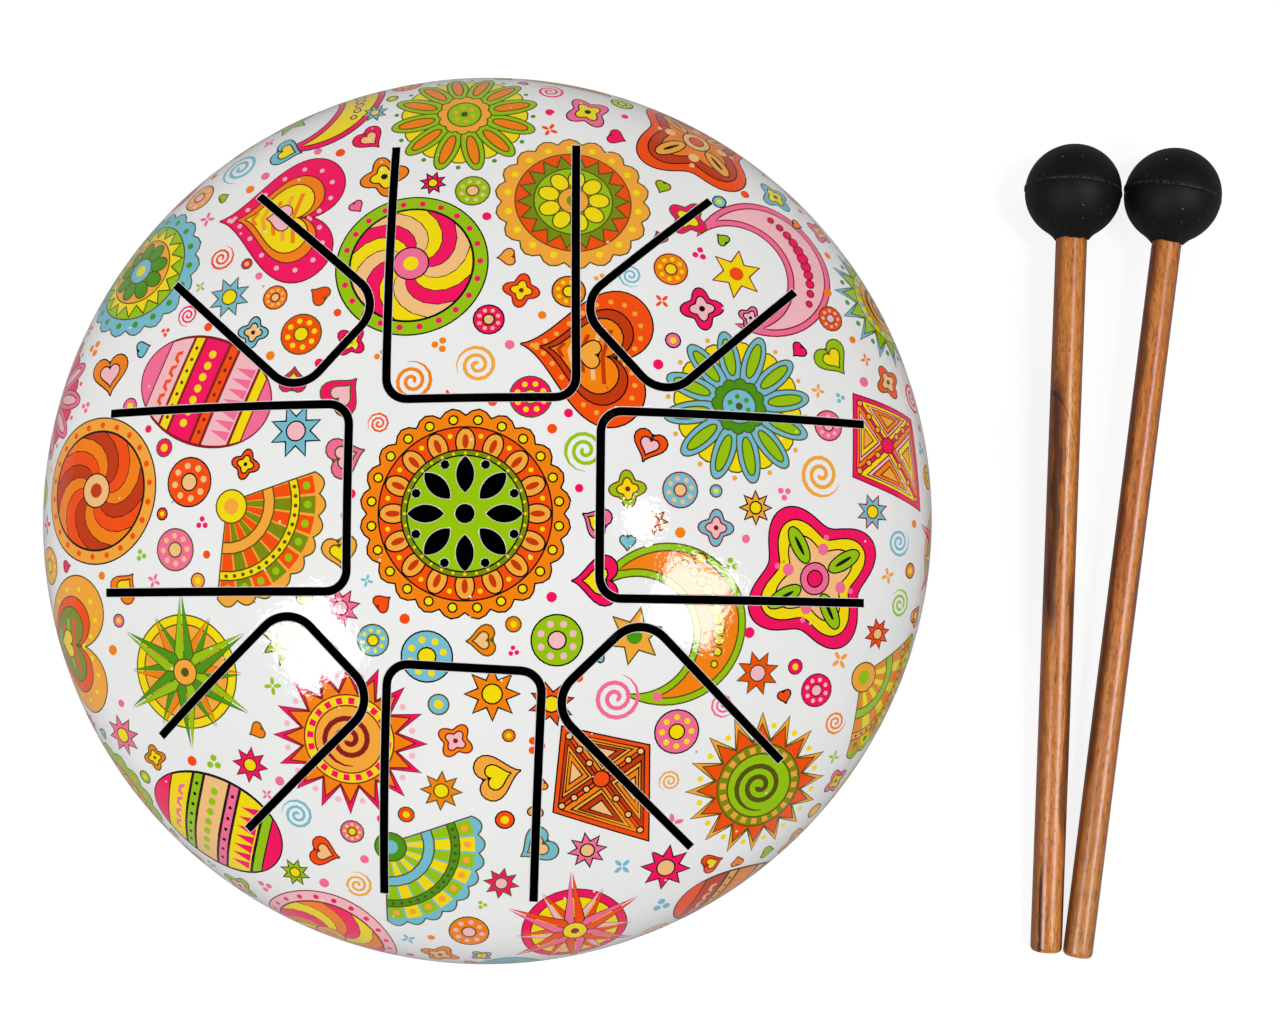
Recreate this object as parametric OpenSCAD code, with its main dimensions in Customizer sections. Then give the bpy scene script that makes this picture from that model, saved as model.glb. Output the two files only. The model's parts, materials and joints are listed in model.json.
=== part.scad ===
// Steel tongue drum with its pair of rubber-headed mallets, in millimetres.
// The set stands on z = 0, +Z is up, and the middle of its footprint is the origin.
// The back of the drum is towards +Y and the mallets lie to the right, towards +X.

/* [Drum shells] */
// Outside diameter at the welded seam
rim_d = 254; // [246:1:300]
// Height of the dome above the seam
dome_h = 64; // [58:1:76]
// Depth of the bowl below the seam
bowl_h = 54; // [48:1:58]
// Outside radius of the turned shoulder on both shells
shoulder_r = 38; // [32:1:42]
// Thickness of the steel sheet
sheet = 1.5; // [1:0.1:2]
// Diameter of the flat base
base_d = 128; // [124:1:136]
// Width of the groove that the seam weld fills
seam_w = 2; // [1:0.1:3]
// Height of the weld's crown over the shells
weld_crown = 0.15; // [0.1:0.05:0.3]

/* [Long tongues] */
// Width at the middle of the cuts: back, right, front, left
long_w = [49.1, 48.5, 39.9, 48.5]; // [34:0.1:50]
// Length from the tip cut to the root line
long_len = [72.5, 70.9, 61.5, 68.3]; // [50:0.1:74]
// Distance of the tip cut from the drum's axis
long_tip = [26.1, 33.2, 43.2, 31.8]; // [24:0.1:46]
// Radius of the tip corners at the middle of the cut
long_corner = 5.5; // [3:0.1:10]

/* [Short tongues] */
// Width at the middle of the cuts: back right, front right, front left, back left
short_w = [34.2, 33.3, 34.1, 33.3]; // [26:0.1:36]
// Length from the tip cut to the root line
short_len = [48.3, 54.2, 51.5, 49.8]; // [40:0.1:55]
// Distance of the tip cut from the drum's axis
short_tip = [54.4, 51.3, 52.7, 52.4]; // [51:0.1:58]
// Radius of the tip corners at the middle of the cut
short_corner = 8.7; // [4:0.1:10]

/* [Tongue cuts] */
// Width of the cut round every tongue
slot_w = 2.2; // [1.5:0.1:2.6]
// Gap along the root line, where the tongue bends
root_gap = 0.02; // [0.02:0.01:0.1]
// Distance from the farthest root line to the rim, seen from above
root_margin = 21.5; // [20:0.1:30]

/* [Rosette] */
// Number of petals cut through the crown
petals = 8; // [5:1:9]
// Length of a petal
petal_len = 9.4; // [6:0.1:10]
// Width of a petal
petal_w = 4.6; // [3:0.1:5]
// Radius of the circle that the petals' inner points lie on
petal_root_r = 5.4; // [5:0.1:7]
// Diameter of the middle hole
eye_d = 5; // [3:0.1:6]
// Diameter of the round holes between the petals' outer points
pearl_d = 2.4; // [1.5:0.1:3]
// Radius of the circle that those round holes lie on
pearl_r = 13.6; // [12:0.1:15]
// Place of the rosette to the right of the drum's axis
rosette_x = -1.3; // [-3:0.1:3]
// Place of the rosette behind the drum's axis
rosette_y = -3.9; // [-5:0.1:3]

/* [Sound port and feet] */
// Diameter of the sound port in the middle of the base
port_d = 60; // [40:1:64]
// Diameter of the circle that the feet stand on
foot_circle_d = 96; // [92:1:100]
// Diameter of a foot where it meets the base
foot_top_d = 20; // [18:0.5:22]
// Diameter of a foot on the table
foot_d = 18; // [17:0.5:20]
// Height of a foot
foot_h = 8; // [7:0.5:14]
// Radius of the foot's lower edge
foot_edge_r = 1.5; // [0.5:0.1:2]
// Diameter of the screw's recess in the foot
recess_d = 10; // [9.5:0.1:11]
// Depth of the recess
recess_h = 4.4; // [4:0.1:5]

/* [Foot screws] */
// Diameter of the screw's shank
screw_d = 4; // [3:0.5:5]
// Length of the shank past its nut
screw_end = 0.9; // [0.5:0.1:3]
// Diameter of the domed head
head_screw_d = 8; // [7:0.1:8.5]
// Height of the domed head
head_screw_h = 2.4; // [2:0.1:2.8]
// Width of an arm of the cross recess
cross_w = 0.9; // [0.6:0.1:1.2]
// Span of the cross recess
cross_d = 4.2; // [3:0.1:5]
// Depth of the cross recess
cross_h = 1.4; // [0.8:0.1:1.8]
// Clearance round the shank in the foot, the washer and the base
screw_clear = 0.25; // [0.1:0.05:0.5]
// Clearance between the shank and the nut's thread, on the radius
thread_clear = 0.05; // [0.02:0.01:0.1]
// Diameter of the washer
washer_d = 9; // [8.5:0.1:9.4]
// Thickness of the washer
washer_t = 0.8; // [0.5:0.1:1.2]
// Width of the nut across its flats
nut_w = 7; // [6:0.5:8]
// Height of the nut
nut_h = 3.2; // [2.5:0.1:4]

/* [Mallets] */
// Diameter of the rubber head
ball_d = 30; // [26:0.5:34]
// Diameter of each handle: left, right
handle_d = [9.7, 9.1]; // [8:0.1:11]
// Length of each mallet over all
mallet_len = [253.7, 255.9]; // [200:0.1:300]
// Distance of the left head's centre from the drum's rim, to the right
left_gap = 53.2; // [40:0.1:120]
// Distance of the left head's centre behind the drum's axis
left_y = 105.8; // [60:0.1:130]
// Lean of the left mallet from straight back, in degrees
left_lean = 2.45; // [0:0.05:4]
// Gap between the two heads
heads_gap = 1; // [0.5:0.1:20]
// How far the right head lies in front of the left one
heads_step = 1.3; // [0:0.1:10]
// Gap between the free ends of the handles
tails_gap = 0.4; // [0.3:0.1:20]
// Depth of the handle's socket in the head
socket_h = 20; // [12:0.5:22]
// Clearance for the glue round the handle in its socket
glue_t = 0.05; // [0.02:0.01:0.1]
// Diameter of the flat where the handle enters the head
neck_d = 12.6; // [12:0.1:16]
// Width of the parting ridge round the head
ridge_w = 0.8; // [0.4:0.1:1.5]
// Height of the parting ridge over the head
ridge_h = 0.2; // [0.1:0.05:0.4]
// Radius of the handle's rounded end
tail_r = 1.6; // [0.5:0.1:3]

/* [Hidden] */
$fn = 144;

// How far a cut runs past the face that it opens
cut = 0.5;

// Radii and heights of the drum
rim_r = rim_d / 2;
base_r = base_d / 2;
base_z = foot_h;
seam_z = base_z + bowl_h;
top_z = seam_z + dome_h;
shoulder_x = rim_r - shoulder_r;

// The dome is a sphere whose arc runs on into the shoulder's
crown_r = (pow(shoulder_x, 2) + pow(dome_h, 2) - pow(shoulder_r, 2)) / (2 * (dome_h - shoulder_r));
crown_z = top_z - crown_r;
crown_slope = asin(shoulder_x / (crown_r - shoulder_r));

// The bowl's lower bend runs from the flat base into the shoulder's arc, which ends at the turn.
// The turn is at the seam, unless the base comes so near the rim that a straight wall is left between.
turn_h = min(bowl_h, rim_r - base_r);
turn_z = base_z + turn_h;
bend_r = (pow(shoulder_x - base_r, 2) + pow(turn_h, 2) - pow(shoulder_r, 2)) / (2 * (turn_h - shoulder_r));
bend_z = base_z + bend_r;
bend_slope = asin((bend_z - turn_z) / (bend_r - shoulder_r));

// The tongues run clockwise from the back, long and short in turn
tongue_count = len(long_w) + len(short_w);
tongue_step = 360 / tongue_count;
first_tongue_turn = 90;

// Each tongue is set a little off its radius, to its left as seen from the axis
long_shift = [-2.8, -0.9, 0.9, -0.4];
short_shift = [3, -5.2, 3.7, -6.2];

// Each tongue leans a few degrees from its even place in the ring
long_lean = [0.8, -0.5, -3.2, -0.3];
short_lean = [-2.8, -1.3, -1.7, 3.1];

// The tongues keep their proportions to each other, and fill the dome as far as the root margin
farthest_root = max([
    for (k = [0:len(long_w) - 1]) max(long_tip[k] + long_len[k], short_tip[k] + short_len[k])
]);
field_scale = (rim_r - root_margin) / farthest_root;

// The feet stand between the axes, with their screws' heights under the base
feet = 4;
washer_z = recess_h - washer_t;
screw_len = base_z + sheet + nut_h + screw_end - washer_z;
foot_step = 360 / feet;

// The head rests on its ridge and the handle on its end
ball_r = ball_d / 2;
ball_z = ball_r + ridge_h;
flat_z = sqrt(pow(ball_r, 2) - pow(neck_d / 2, 2));
socket_end_z = socket_h - flat_z;
function tail_z(i) = mallet_len[i] - ball_r;
function mallet_tilt(i) = asin((ball_z - handle_d[i] / 2) / tail_z(i));

// Places of the heads from the drum's axis, the left mallet's first
ball_x = [rim_r + left_gap, rim_r + left_gap + 2 * ball_z + heads_gap];
ball_y = [left_y, left_y - heads_step];

// The right mallet leans in until its free end lies beside the left one's
left_tail_x = ball_x[0] - tail_z(0) * cos(mallet_tilt(0)) * sin(left_lean);
right_tail_x = left_tail_x + handle_d[0] / 2 + tails_gap + handle_d[1] / 2;
right_lean = asin((ball_x[1] - right_tail_x) / (tail_z(1) * cos(mallet_tilt(1))));
mallet_lean = [left_lean, right_lean];

// How far the set reaches from the drum's axis, to the right and to the front
reach_x = ball_x[1] + ball_z;
reach_y = max([
    rim_r,
    for (i = [0, 1]) tail_z(i) * cos(mallet_tilt(i)) * cos(mallet_lean[i]) - ball_y[i]
]);
axis_x = (rim_r + weld_crown - reach_x) / 2;
axis_y = (reach_y - rim_r) / 2;

enamel = "whitesmoke";
rubber = "dimgray";
steel = "silver";
wood = "sandybrown";

module on_drum_axis() {
    translate([axis_x, axis_y, 0])
        children();
}

// Half section of the dome's outside, drawn in by t, above the height low
module dome_section(t, low) {
    join_z = crown_z + (crown_r - t) * cos(crown_slope);
    intersection() {
        translate([0, crown_z])
            circle(crown_r - t);
        translate([0, join_z])
            square([rim_r, dome_h]);
    }
    intersection() {
        union() {
            translate([shoulder_x, seam_z])
                circle(shoulder_r - t);
            translate([0, low])
                square([shoulder_x, join_z - low]);
        }
        translate([0, low])
            square([rim_r, join_z - low]);
    }
}

// Half section of the bowl's outside, drawn in by t, below the height high
module bowl_section(t, high) {
    join_z = bend_z - (bend_r - t) * sin(bend_slope);
    intersection() {
        union() {
            translate([shoulder_x, turn_z])
                circle(shoulder_r - t);
            translate([0, join_z])
                square([shoulder_x, high - join_z]);
            translate([0, turn_z])
                square([rim_r - t, bowl_h]);
        }
        translate([0, join_z])
            square([rim_r, high - join_z]);
    }
    intersection() {
        union() {
            translate([base_r, bend_z])
                circle(bend_r - t);
            translate([0, base_z + t])
                square([base_r, join_z - base_z - t]);
        }
        translate([0, base_z + t])
            square([rim_r, join_z - base_z - t]);
    }
}

// The dome's sheet, before anything is cut out of it
module dome_sheet() {
    edge_z = seam_z + seam_w / 2;
    rotate_extrude()
        difference() {
            dome_section(0, edge_z);
            dome_section(sheet, edge_z - cut);
        }
}

// A tongue's outline, tip towards the origin and root at x = length
module tongue_outline(length, width, corner) {
    translate([corner, -width / 2])
        square([length - corner, width]);
    translate([0, corner - width / 2])
        square([length, width - 2 * corner]);
    for (side = [-1, 1])
        translate([corner, side * (width / 2 - corner)])
            circle(corner);
}

// A tongue's column through the dome, grown by the given amount past the middle of its cut
module tongue_column(i, grow, root_back) {
    k = floor(i / 2);
    is_long = i % 2 == 0;
    width = field_scale * (is_long ? long_w[k] : short_w[k]);
    length = field_scale * (is_long ? long_len[k] : short_len[k]);
    tip = field_scale * (is_long ? long_tip[k] : short_tip[k]);
    shift = field_scale * (is_long ? long_shift[k] : short_shift[k]);
    lean = is_long ? long_lean[k] : short_lean[k];
    corner = is_long ? long_corner : short_corner;
    rotate([0, 0, first_tongue_turn - i * tongue_step + lean])
        translate([tip - grow, shift, seam_z])
            linear_extrude(dome_h + cut)
                tongue_outline(length + grow - root_back, width + 2 * grow, corner + grow);
}

// A pointed petal along x, where two equal circles cross
module petal() {
    side_r = (pow(petal_len, 2) + pow(petal_w, 2)) / (4 * petal_w);
    intersection_for (side = [-1, 1])
        translate([petal_len / 2, side * (side_r - petal_w / 2)])
            circle(side_r);
}

// The ornament cut through the middle of the crown
module rosette_column() {
    translate([rosette_x, rosette_y, seam_z])
        linear_extrude(dome_h + cut) {
            circle(eye_d / 2);
            for (i = [0:petals - 1]) {
                rotate(first_tongue_turn + i * 360 / petals)
                    translate([petal_root_r, 0])
                        petal();
                rotate(first_tongue_turn + (i + 1 / 2) * 360 / petals)
                    translate([pearl_r, 0])
                        circle(pearl_d / 2);
            }
        }
}

// Pressed dome with a window for each tongue
module top_shell() {
    color(enamel)
        on_drum_axis()
            difference() {
                dome_sheet();
                for (i = [0:tongue_count - 1])
                    tongue_column(i, slot_w / 2, 0);
                rosette_column();
            }
}

// One tongue, which lies in the dome's own sheet
module tongue(i) {
    color(enamel)
        on_drum_axis()
            intersection() {
                dome_sheet();
                tongue_column(i, -slot_w / 2, root_gap);
            }
}

// Weld that fills the groove between the two shells
module seam_weld() {
    crown_arc_r = (pow(seam_w / 2, 2) + pow(weld_crown, 2)) / (2 * weld_crown);
    color(enamel)
        on_drum_axis()
            translate([0, 0, seam_z])
                rotate_extrude()
                    intersection() {
                        translate([rim_r - sheet, -seam_w / 2])
                            square([sheet + weld_crown, seam_w]);
                        translate([rim_r + weld_crown - crown_arc_r, 0])
                            circle(crown_arc_r);
                    }
}

// Places its children at foot i, on the table
module at_foot(i) {
    rotate([0, 0, (i + 1 / 2) * foot_step])
        translate([foot_circle_d / 2, 0, 0])
            children();
}

// Pressed bowl with the sound port and the screw holes
module bottom_shell() {
    edge_z = seam_z - seam_w / 2;
    color(enamel)
        on_drum_axis()
            difference() {
                rotate_extrude()
                    difference() {
                        bowl_section(0, edge_z);
                        bowl_section(sheet, edge_z + cut);
                    }
                translate([0, 0, base_z - cut])
                    cylinder(r = port_d / 2, h = sheet + 2 * cut);
                for (i = [0:feet - 1])
                    at_foot(i)
                        translate([0, 0, base_z - cut])
                            cylinder(r = screw_d / 2 + screw_clear, h = sheet + 2 * cut);
            }
}

// Rubber foot with a recess for its screw
module foot(i) {
    color(rubber)
        on_drum_axis()
            at_foot(i)
                difference() {
                    union() {
                        translate([0, 0, foot_edge_r])
                            cylinder(r1 = foot_d / 2, r2 = foot_top_d / 2, h = foot_h - foot_edge_r);
                        rotate_extrude() {
                            square([foot_d / 2 - foot_edge_r, foot_edge_r]);
                            intersection() {
                                translate([foot_d / 2 - foot_edge_r, foot_edge_r])
                                    circle(foot_edge_r);
                                square([foot_d / 2, foot_edge_r]);
                            }
                        }
                    }
                    translate([0, 0, -cut])
                        cylinder(r = recess_d / 2, h = recess_h + cut);
                    cylinder(r = screw_d / 2 + screw_clear, h = foot_h + cut);
                }
}

// Washer in the roof of each foot's recess
module foot_washers() {
    color(steel)
        on_drum_axis()
            for (i = [0:feet - 1])
                at_foot(i)
                    translate([0, 0, washer_z])
                        difference() {
                            cylinder(r = washer_d / 2, h = washer_t);
                            translate([0, 0, -cut])
                                cylinder(r = screw_d / 2 + screw_clear, h = washer_t + 2 * cut);
                        }
}

// Cross-recessed screw, head down, with the top of its head on the washer
module foot_screw() {
    dome_r = (pow(head_screw_d / 2, 2) + pow(head_screw_h, 2)) / (2 * head_screw_h);
    difference() {
        union() {
            intersection() {
                translate([0, 0, dome_r - head_screw_h])
                    sphere(dome_r);
                translate([0, 0, -head_screw_h])
                    cylinder(r = head_screw_d / 2 + cut, h = head_screw_h);
            }
            translate([0, 0, -head_screw_h / 2])
                cylinder(r = screw_d / 2, h = screw_len + head_screw_h / 2);
        }
        for (turn = [0, 90])
            rotate([0, 0, turn])
                translate([-cross_d / 2, -cross_w / 2, -head_screw_h - cut])
                    cube([cross_d, cross_w, cross_h + cut]);
    }
}

module foot_screws() {
    color(steel)
        on_drum_axis()
            for (i = [0:feet - 1])
                at_foot(i)
                    translate([0, 0, washer_z])
                        foot_screw();
}

// Hexagon nut on each screw, on the floor of the bowl
module foot_nuts() {
    color(steel)
        on_drum_axis()
            for (i = [0:feet - 1])
                at_foot(i)
                    translate([0, 0, base_z + sheet])
                        difference() {
                            cylinder(r = nut_w / 2 / cos(30), h = nut_h, $fn = 6);
                            translate([0, 0, -cut])
                                cylinder(r = screw_d / 2 + thread_clear, h = nut_h + 2 * cut);
                        }
}

// Lays a mallet on the table: its head's centre is the origin, its handle runs down z
module lay_mallet(i) {
    on_drum_axis()
        translate([ball_x[i], ball_y[i], ball_z])
            rotate([mallet_tilt(i) - 90, 0, -mallet_lean[i]])
                children();
}

// Turned wooden handle, round at its free end
module mallet_handle(i) {
    handle_r = handle_d[i] / 2;
    color(wood)
        lay_mallet(i)
            rotate_extrude() {
                translate([0, tail_r - tail_z(i)])
                    square([handle_r, tail_z(i) - tail_r + socket_end_z]);
                translate([0, -tail_z(i)])
                    square([handle_r - tail_r, tail_r]);
                intersection() {
                    translate([handle_r - tail_r, tail_r - tail_z(i)])
                        circle(tail_r);
                    translate([0, -tail_z(i)])
                        square([handle_r, tail_r]);
                }
            }
}

// Solid rubber ball with a blind socket for the handle and its mould's parting ridge
module mallet_head(i) {
    handle_r = handle_d[i] / 2;
    color(rubber)
        lay_mallet(i)
            difference() {
                union() {
                    sphere(ball_r);
                    rotate_extrude()
                        translate([ball_r - ridge_w, -ridge_w / 2])
                            square([ridge_w + ridge_h, ridge_w]);
                }
                translate([0, 0, -ball_r - cut])
                    cylinder(r = ball_r, h = ball_r - flat_z + cut);
                translate([0, 0, -ball_r - cut])
                    cylinder(r = handle_r + glue_t, h = ball_r + socket_end_z + glue_t + cut);
            }
}

top_shell();
tongue(0);  // tongue_1
tongue(1);  // tongue_2
tongue(2);  // tongue_3
tongue(3);  // tongue_4
tongue(4);  // tongue_5
tongue(5);  // tongue_6
tongue(6);  // tongue_7
tongue(7);  // tongue_8
seam_weld();
bottom_shell();
foot(0);  // foot_1
foot(1);  // foot_2
foot(2);  // foot_3
foot(3);  // foot_4
foot_washers();
foot_screws();
foot_nuts();
mallet_handle(0);  // mallet_handle_left
mallet_head(0);  // mallet_head_left
mallet_handle(1);  // mallet_handle_right
mallet_head(1);  // mallet_head_right
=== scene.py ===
"""Steel tongue drum with two mallets: the finish of every surface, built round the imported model."""

import json
import math
from functools import partial

import bpy
import numpy as np
from bpy.props import FloatProperty, FloatVectorProperty, IntProperty, PointerProperty
from mathutils import Color, Euler, Matrix, Vector
from mathutils.geometry import delaunay_2d_cdt


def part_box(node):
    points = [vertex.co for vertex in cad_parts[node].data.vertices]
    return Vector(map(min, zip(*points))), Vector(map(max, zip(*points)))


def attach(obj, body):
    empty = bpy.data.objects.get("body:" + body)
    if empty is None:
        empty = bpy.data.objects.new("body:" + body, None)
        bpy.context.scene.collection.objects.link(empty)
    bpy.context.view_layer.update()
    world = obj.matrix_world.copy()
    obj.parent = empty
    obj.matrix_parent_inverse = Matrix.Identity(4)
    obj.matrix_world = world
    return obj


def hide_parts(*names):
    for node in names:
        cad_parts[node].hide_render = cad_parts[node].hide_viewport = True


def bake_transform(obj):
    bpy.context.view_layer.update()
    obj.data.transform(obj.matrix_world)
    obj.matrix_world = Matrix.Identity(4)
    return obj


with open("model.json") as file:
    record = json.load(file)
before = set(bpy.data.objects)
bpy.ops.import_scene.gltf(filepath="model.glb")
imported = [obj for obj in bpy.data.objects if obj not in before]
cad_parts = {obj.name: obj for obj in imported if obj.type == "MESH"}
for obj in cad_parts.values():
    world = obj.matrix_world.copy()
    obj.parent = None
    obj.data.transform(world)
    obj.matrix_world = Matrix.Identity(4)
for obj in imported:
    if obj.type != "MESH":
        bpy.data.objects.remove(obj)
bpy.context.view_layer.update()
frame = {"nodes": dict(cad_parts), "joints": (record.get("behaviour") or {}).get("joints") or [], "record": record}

bl_info = {
    "name": "Steel Tongue Drum",
    "version": (1, 0, 0),
    "blender": (4, 5, 0),
    "location": "View3D > Sidebar > Tongue Drum",
    "description": "Builds a printed steel tongue drum with two rubber-headed mallets",
    "category": "Add Mesh",
}

MM = 0.001
TURN = 2 * math.pi
QUARTER = math.pi / 2
GOLDEN_TURN = math.pi * (3 - math.sqrt(5))
TINY = 1e-9

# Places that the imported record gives
port = next(mount for mount in frame["record"]["mounts"] if mount["name"] == "sound_port")
drum_axis = np.array(port["pos_m"][:2])
port_r = port["dims"]["r_mm"] * MM


def linear(code):
    """Scene-linear colour with alpha from a screen colour's hex code."""
    screen = [int(code[place : place + 2], 16) / 255 for place in (1, 3, 5)]
    return (*Color(screen).from_srgb_to_scene_linear(), 1.0)


def size_setting(name, description, default):
    """Length, given in millimetres and kept in metres."""
    return FloatProperty(
        name=name, description=description, default=default * MM, min=0, precision=4,
        subtype="DISTANCE", unit="LENGTH",
    )


def pair_setting(name, description, default):
    """Two lengths, given in millimetres and kept in metres."""
    return FloatVectorProperty(
        name=name, description=description, default=[length * MM for length in default], size=2, precision=4,
        subtype="XYZ", unit="LENGTH",
    )


def angle_setting(name, description, default):
    """Turn, given in degrees and kept in radians."""
    return FloatProperty(
        name=name, description=description, default=math.radians(default), subtype="ANGLE", unit="ROTATION"
    )


def share_setting(name, description, default, high=1.0):
    """Plain number between zero and a highest value."""
    return FloatProperty(name=name, description=description, default=default, min=0, max=high, precision=3)


def power_setting(name, description, default):
    """Power of a lamp in watts."""
    return FloatProperty(name=name, description=description, default=default, min=0, unit="POWER")


def colour_setting(name, description, code):
    """Colour with alpha."""
    return FloatVectorProperty(
        name=name, description=description, default=linear(code), size=4, min=0, max=1, subtype="COLOR"
    )


class TongueDrumShells(bpy.types.PropertyGroup):
    """Sizes of the pressed shells."""

    rim_d: size_setting("Rim diameter", "Outside diameter at the seam", 254)
    shoulder_r: size_setting("Shoulder radius", "Outside radius of the turned shoulder", 38)
    sheet: size_setting("Sheet", "Thickness of the steel sheet", 1.5)
    seam_w: size_setting("Seam", "Height of the weld between the shells", 2)
    weld_crown: size_setting("Weld crown", "How far the weld stands out from the rim", 0.15)
    weld_ripples: IntProperty(name="Weld ripples", description="Ripples round the weld", default=360, min=90)
    base_d: size_setting("Base diameter", "Diameter of the flat base", 128)
    edge_r: size_setting("Paint edge", "Radius of the paint's rounded edge along every cut", 0.32)
    mesh_step: size_setting("Mesh step", "Widest spacing of points on the outside", 4.4)
    inner_step: size_setting("Inner mesh step", "Spacing of points on the inside", 9)


class TongueDrumCuts(bpy.types.PropertyGroup):
    """Sizes of the cuts through the dome."""

    slot_w: size_setting("Slot width", "Width of the cut round every tongue", 2.2)
    bend_len: size_setting("Bend", "Length of a tongue's root that bends as it sounds", 14)
    long_corner: size_setting("Long tongue corner", "Corner radius at the middle of the cut", 5.5)
    short_corner: size_setting("Short tongue corner", "Corner radius at the middle of the cut", 8.7)
    petals: IntProperty(name="Petals", description="Petals of the rosette cut", default=8, min=3, max=12)
    petal_len: size_setting("Petal length", "Length of a petal cut", 9.4)
    petal_w: size_setting("Petal width", "Width of a petal cut", 4.6)
    petal_root_r: size_setting("Petal ring", "Radius of the ring of the petals' inner points", 5.4)
    eye_d: size_setting("Eye", "Diameter of the middle hole", 5)
    pearl_d: size_setting("Pearls", "Diameter of the round holes between the petals", 2.4)
    pearl_r: size_setting("Pearl ring", "Radius of the ring of round holes", 13.6)
    rosette_place: pair_setting("Rosette", "Middle of the rosette, from the drum's axis", (-1.3, -3.9))


class TongueDrumPrint(bpy.types.PropertyGroup):
    """Scale and inks of the printed pattern."""

    motif_step: size_setting("Motif spacing", "Scale of the spiral that the large motifs follow", 26)
    motif_r: size_setting("Largest motif", "Largest radius of a motif", 25.5)
    motif_gap: size_setting("Motif gap", "Ground left between neighbouring motifs", 1.1)
    centre_r: size_setting("Middle motif", "Radius of the motif round the rosette", 27)
    line_w: size_setting("Line", "Width of the drawn outlines", 0.42)
    ground: colour_setting("Ground", "White enamel under the inks", "#F0F0EF")
    line: colour_setting("Line", "Black line ink", "#120D0B")
    bark: colour_setting("Bark", "Dark olive line ink", "#5B5510")
    wine: colour_setting("Wine", "Dark red line ink", "#8E1C1C")
    flame: colour_setting("Flame", "Red orange ink", "#FF5205")
    rust: colour_setting("Rust", "Brown orange ink", "#CC3B05")
    orange: colour_setting("Orange", "Orange ink", "#FF880A")
    amber: colour_setting("Amber", "Amber ink", "#FFAE3C")
    yellow: colour_setting("Yellow", "Yellow ink", "#FFE405")
    lime: colour_setting("Lime", "Lime ink", "#9DCB08")
    olive: colour_setting("Olive", "Olive ink", "#84900A")
    green: colour_setting("Green", "Green ink", "#4F9A12")
    sky: colour_setting("Sky", "Light blue ink", "#7CC4D6")
    magenta: colour_setting("Magenta", "Magenta ink", "#FF0F62")
    pink: colour_setting("Pink", "Pink ink", "#FF729C")
    blush: colour_setting("Blush", "Pale pink ink", "#FFC2C8")
    peach: colour_setting("Peach", "Peach ink", "#FFC886")


class TongueDrumFeet(bpy.types.PropertyGroup):
    """Sizes of the rubber feet."""

    high_d: size_setting("Upper diameter", "Diameter where a foot meets the base", 20)
    low_d: size_setting("Lower diameter", "Diameter on the table", 18)
    height: size_setting("Height", "Height of a foot", 8)
    edge_r: size_setting("Edge", "Radius of the lower edge", 1.5)
    recess_d: size_setting("Recess", "Diameter of the screw's recess", 10)
    recess_h: size_setting("Recess depth", "Depth of the screw's recess", 4.4)
    hole_d: size_setting("Screw hole", "Diameter of the holes for the screws", 4.5)


class TongueDrumMallets(bpy.types.PropertyGroup):
    """Sizes and colours of the mallets."""

    head_d: size_setting("Head", "Diameter of a head", 30)
    handle_d: pair_setting("Handles", "Diameters of the left and the right handle", (9.7, 9.1))
    length: pair_setting("Lengths", "Lengths of the left and the right mallet", (253.7, 255.9))
    left_place: pair_setting("Left head", "Place of the left head from the drum's axis", (180.2, 105.8))
    right_place: pair_setting("Right head", "Place of the right head from the drum's axis", (211.6, 104.5))
    left_lean: angle_setting("Left lean", "Turn of the left mallet from straight back", 2.45)
    right_lean: angle_setting("Right lean", "Turn of the right mallet from straight back", 7.5916)
    neck_d: size_setting("Neck", "Diameter of the flat where the handle enters the head", 12.6)
    ridge_w: size_setting("Ridge width", "Width of the mould's parting ridge", 0.8)
    ridge_h: size_setting("Ridge height", "Height of the parting ridge over the head", 0.2)
    glue: size_setting("Glue", "Clearance round the handle in its socket", 0.05)
    socket_h: size_setting("Socket", "Depth of the handle's socket", 20)
    tail_r: size_setting("Handle end", "Radius of the handle's rounded end", 1.6)
    collar_h: size_setting("Collar", "How far the rubber reaches down the handle past the neck", 1.6)
    ridge_aside: angle_setting("Ridge turn", "Turn of both parting ridges, as seen from above", 3.2)
    left_ridge: angle_setting("Left ridge", "Tilt of the left head's parting ridge", 6)
    right_ridge: angle_setting("Right ridge", "Tilt of the right head's parting ridge", 2)
    flash_h: size_setting("Flash", "Height of the flash left where the mould's halves were trimmed", 0.42)
    rubber: colour_setting("Rubber", "Black rubber", "#05070B")
    wood_light: colour_setting("Light wood", "Pale layers of the wood", "#FEA846")
    wood_dark: colour_setting("Dark wood", "Dark layers of the wood", "#BE5E10")
    wood_heart: colour_setting("Heartwood", "Darkest streaks of the wood", "#330C04")


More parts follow.
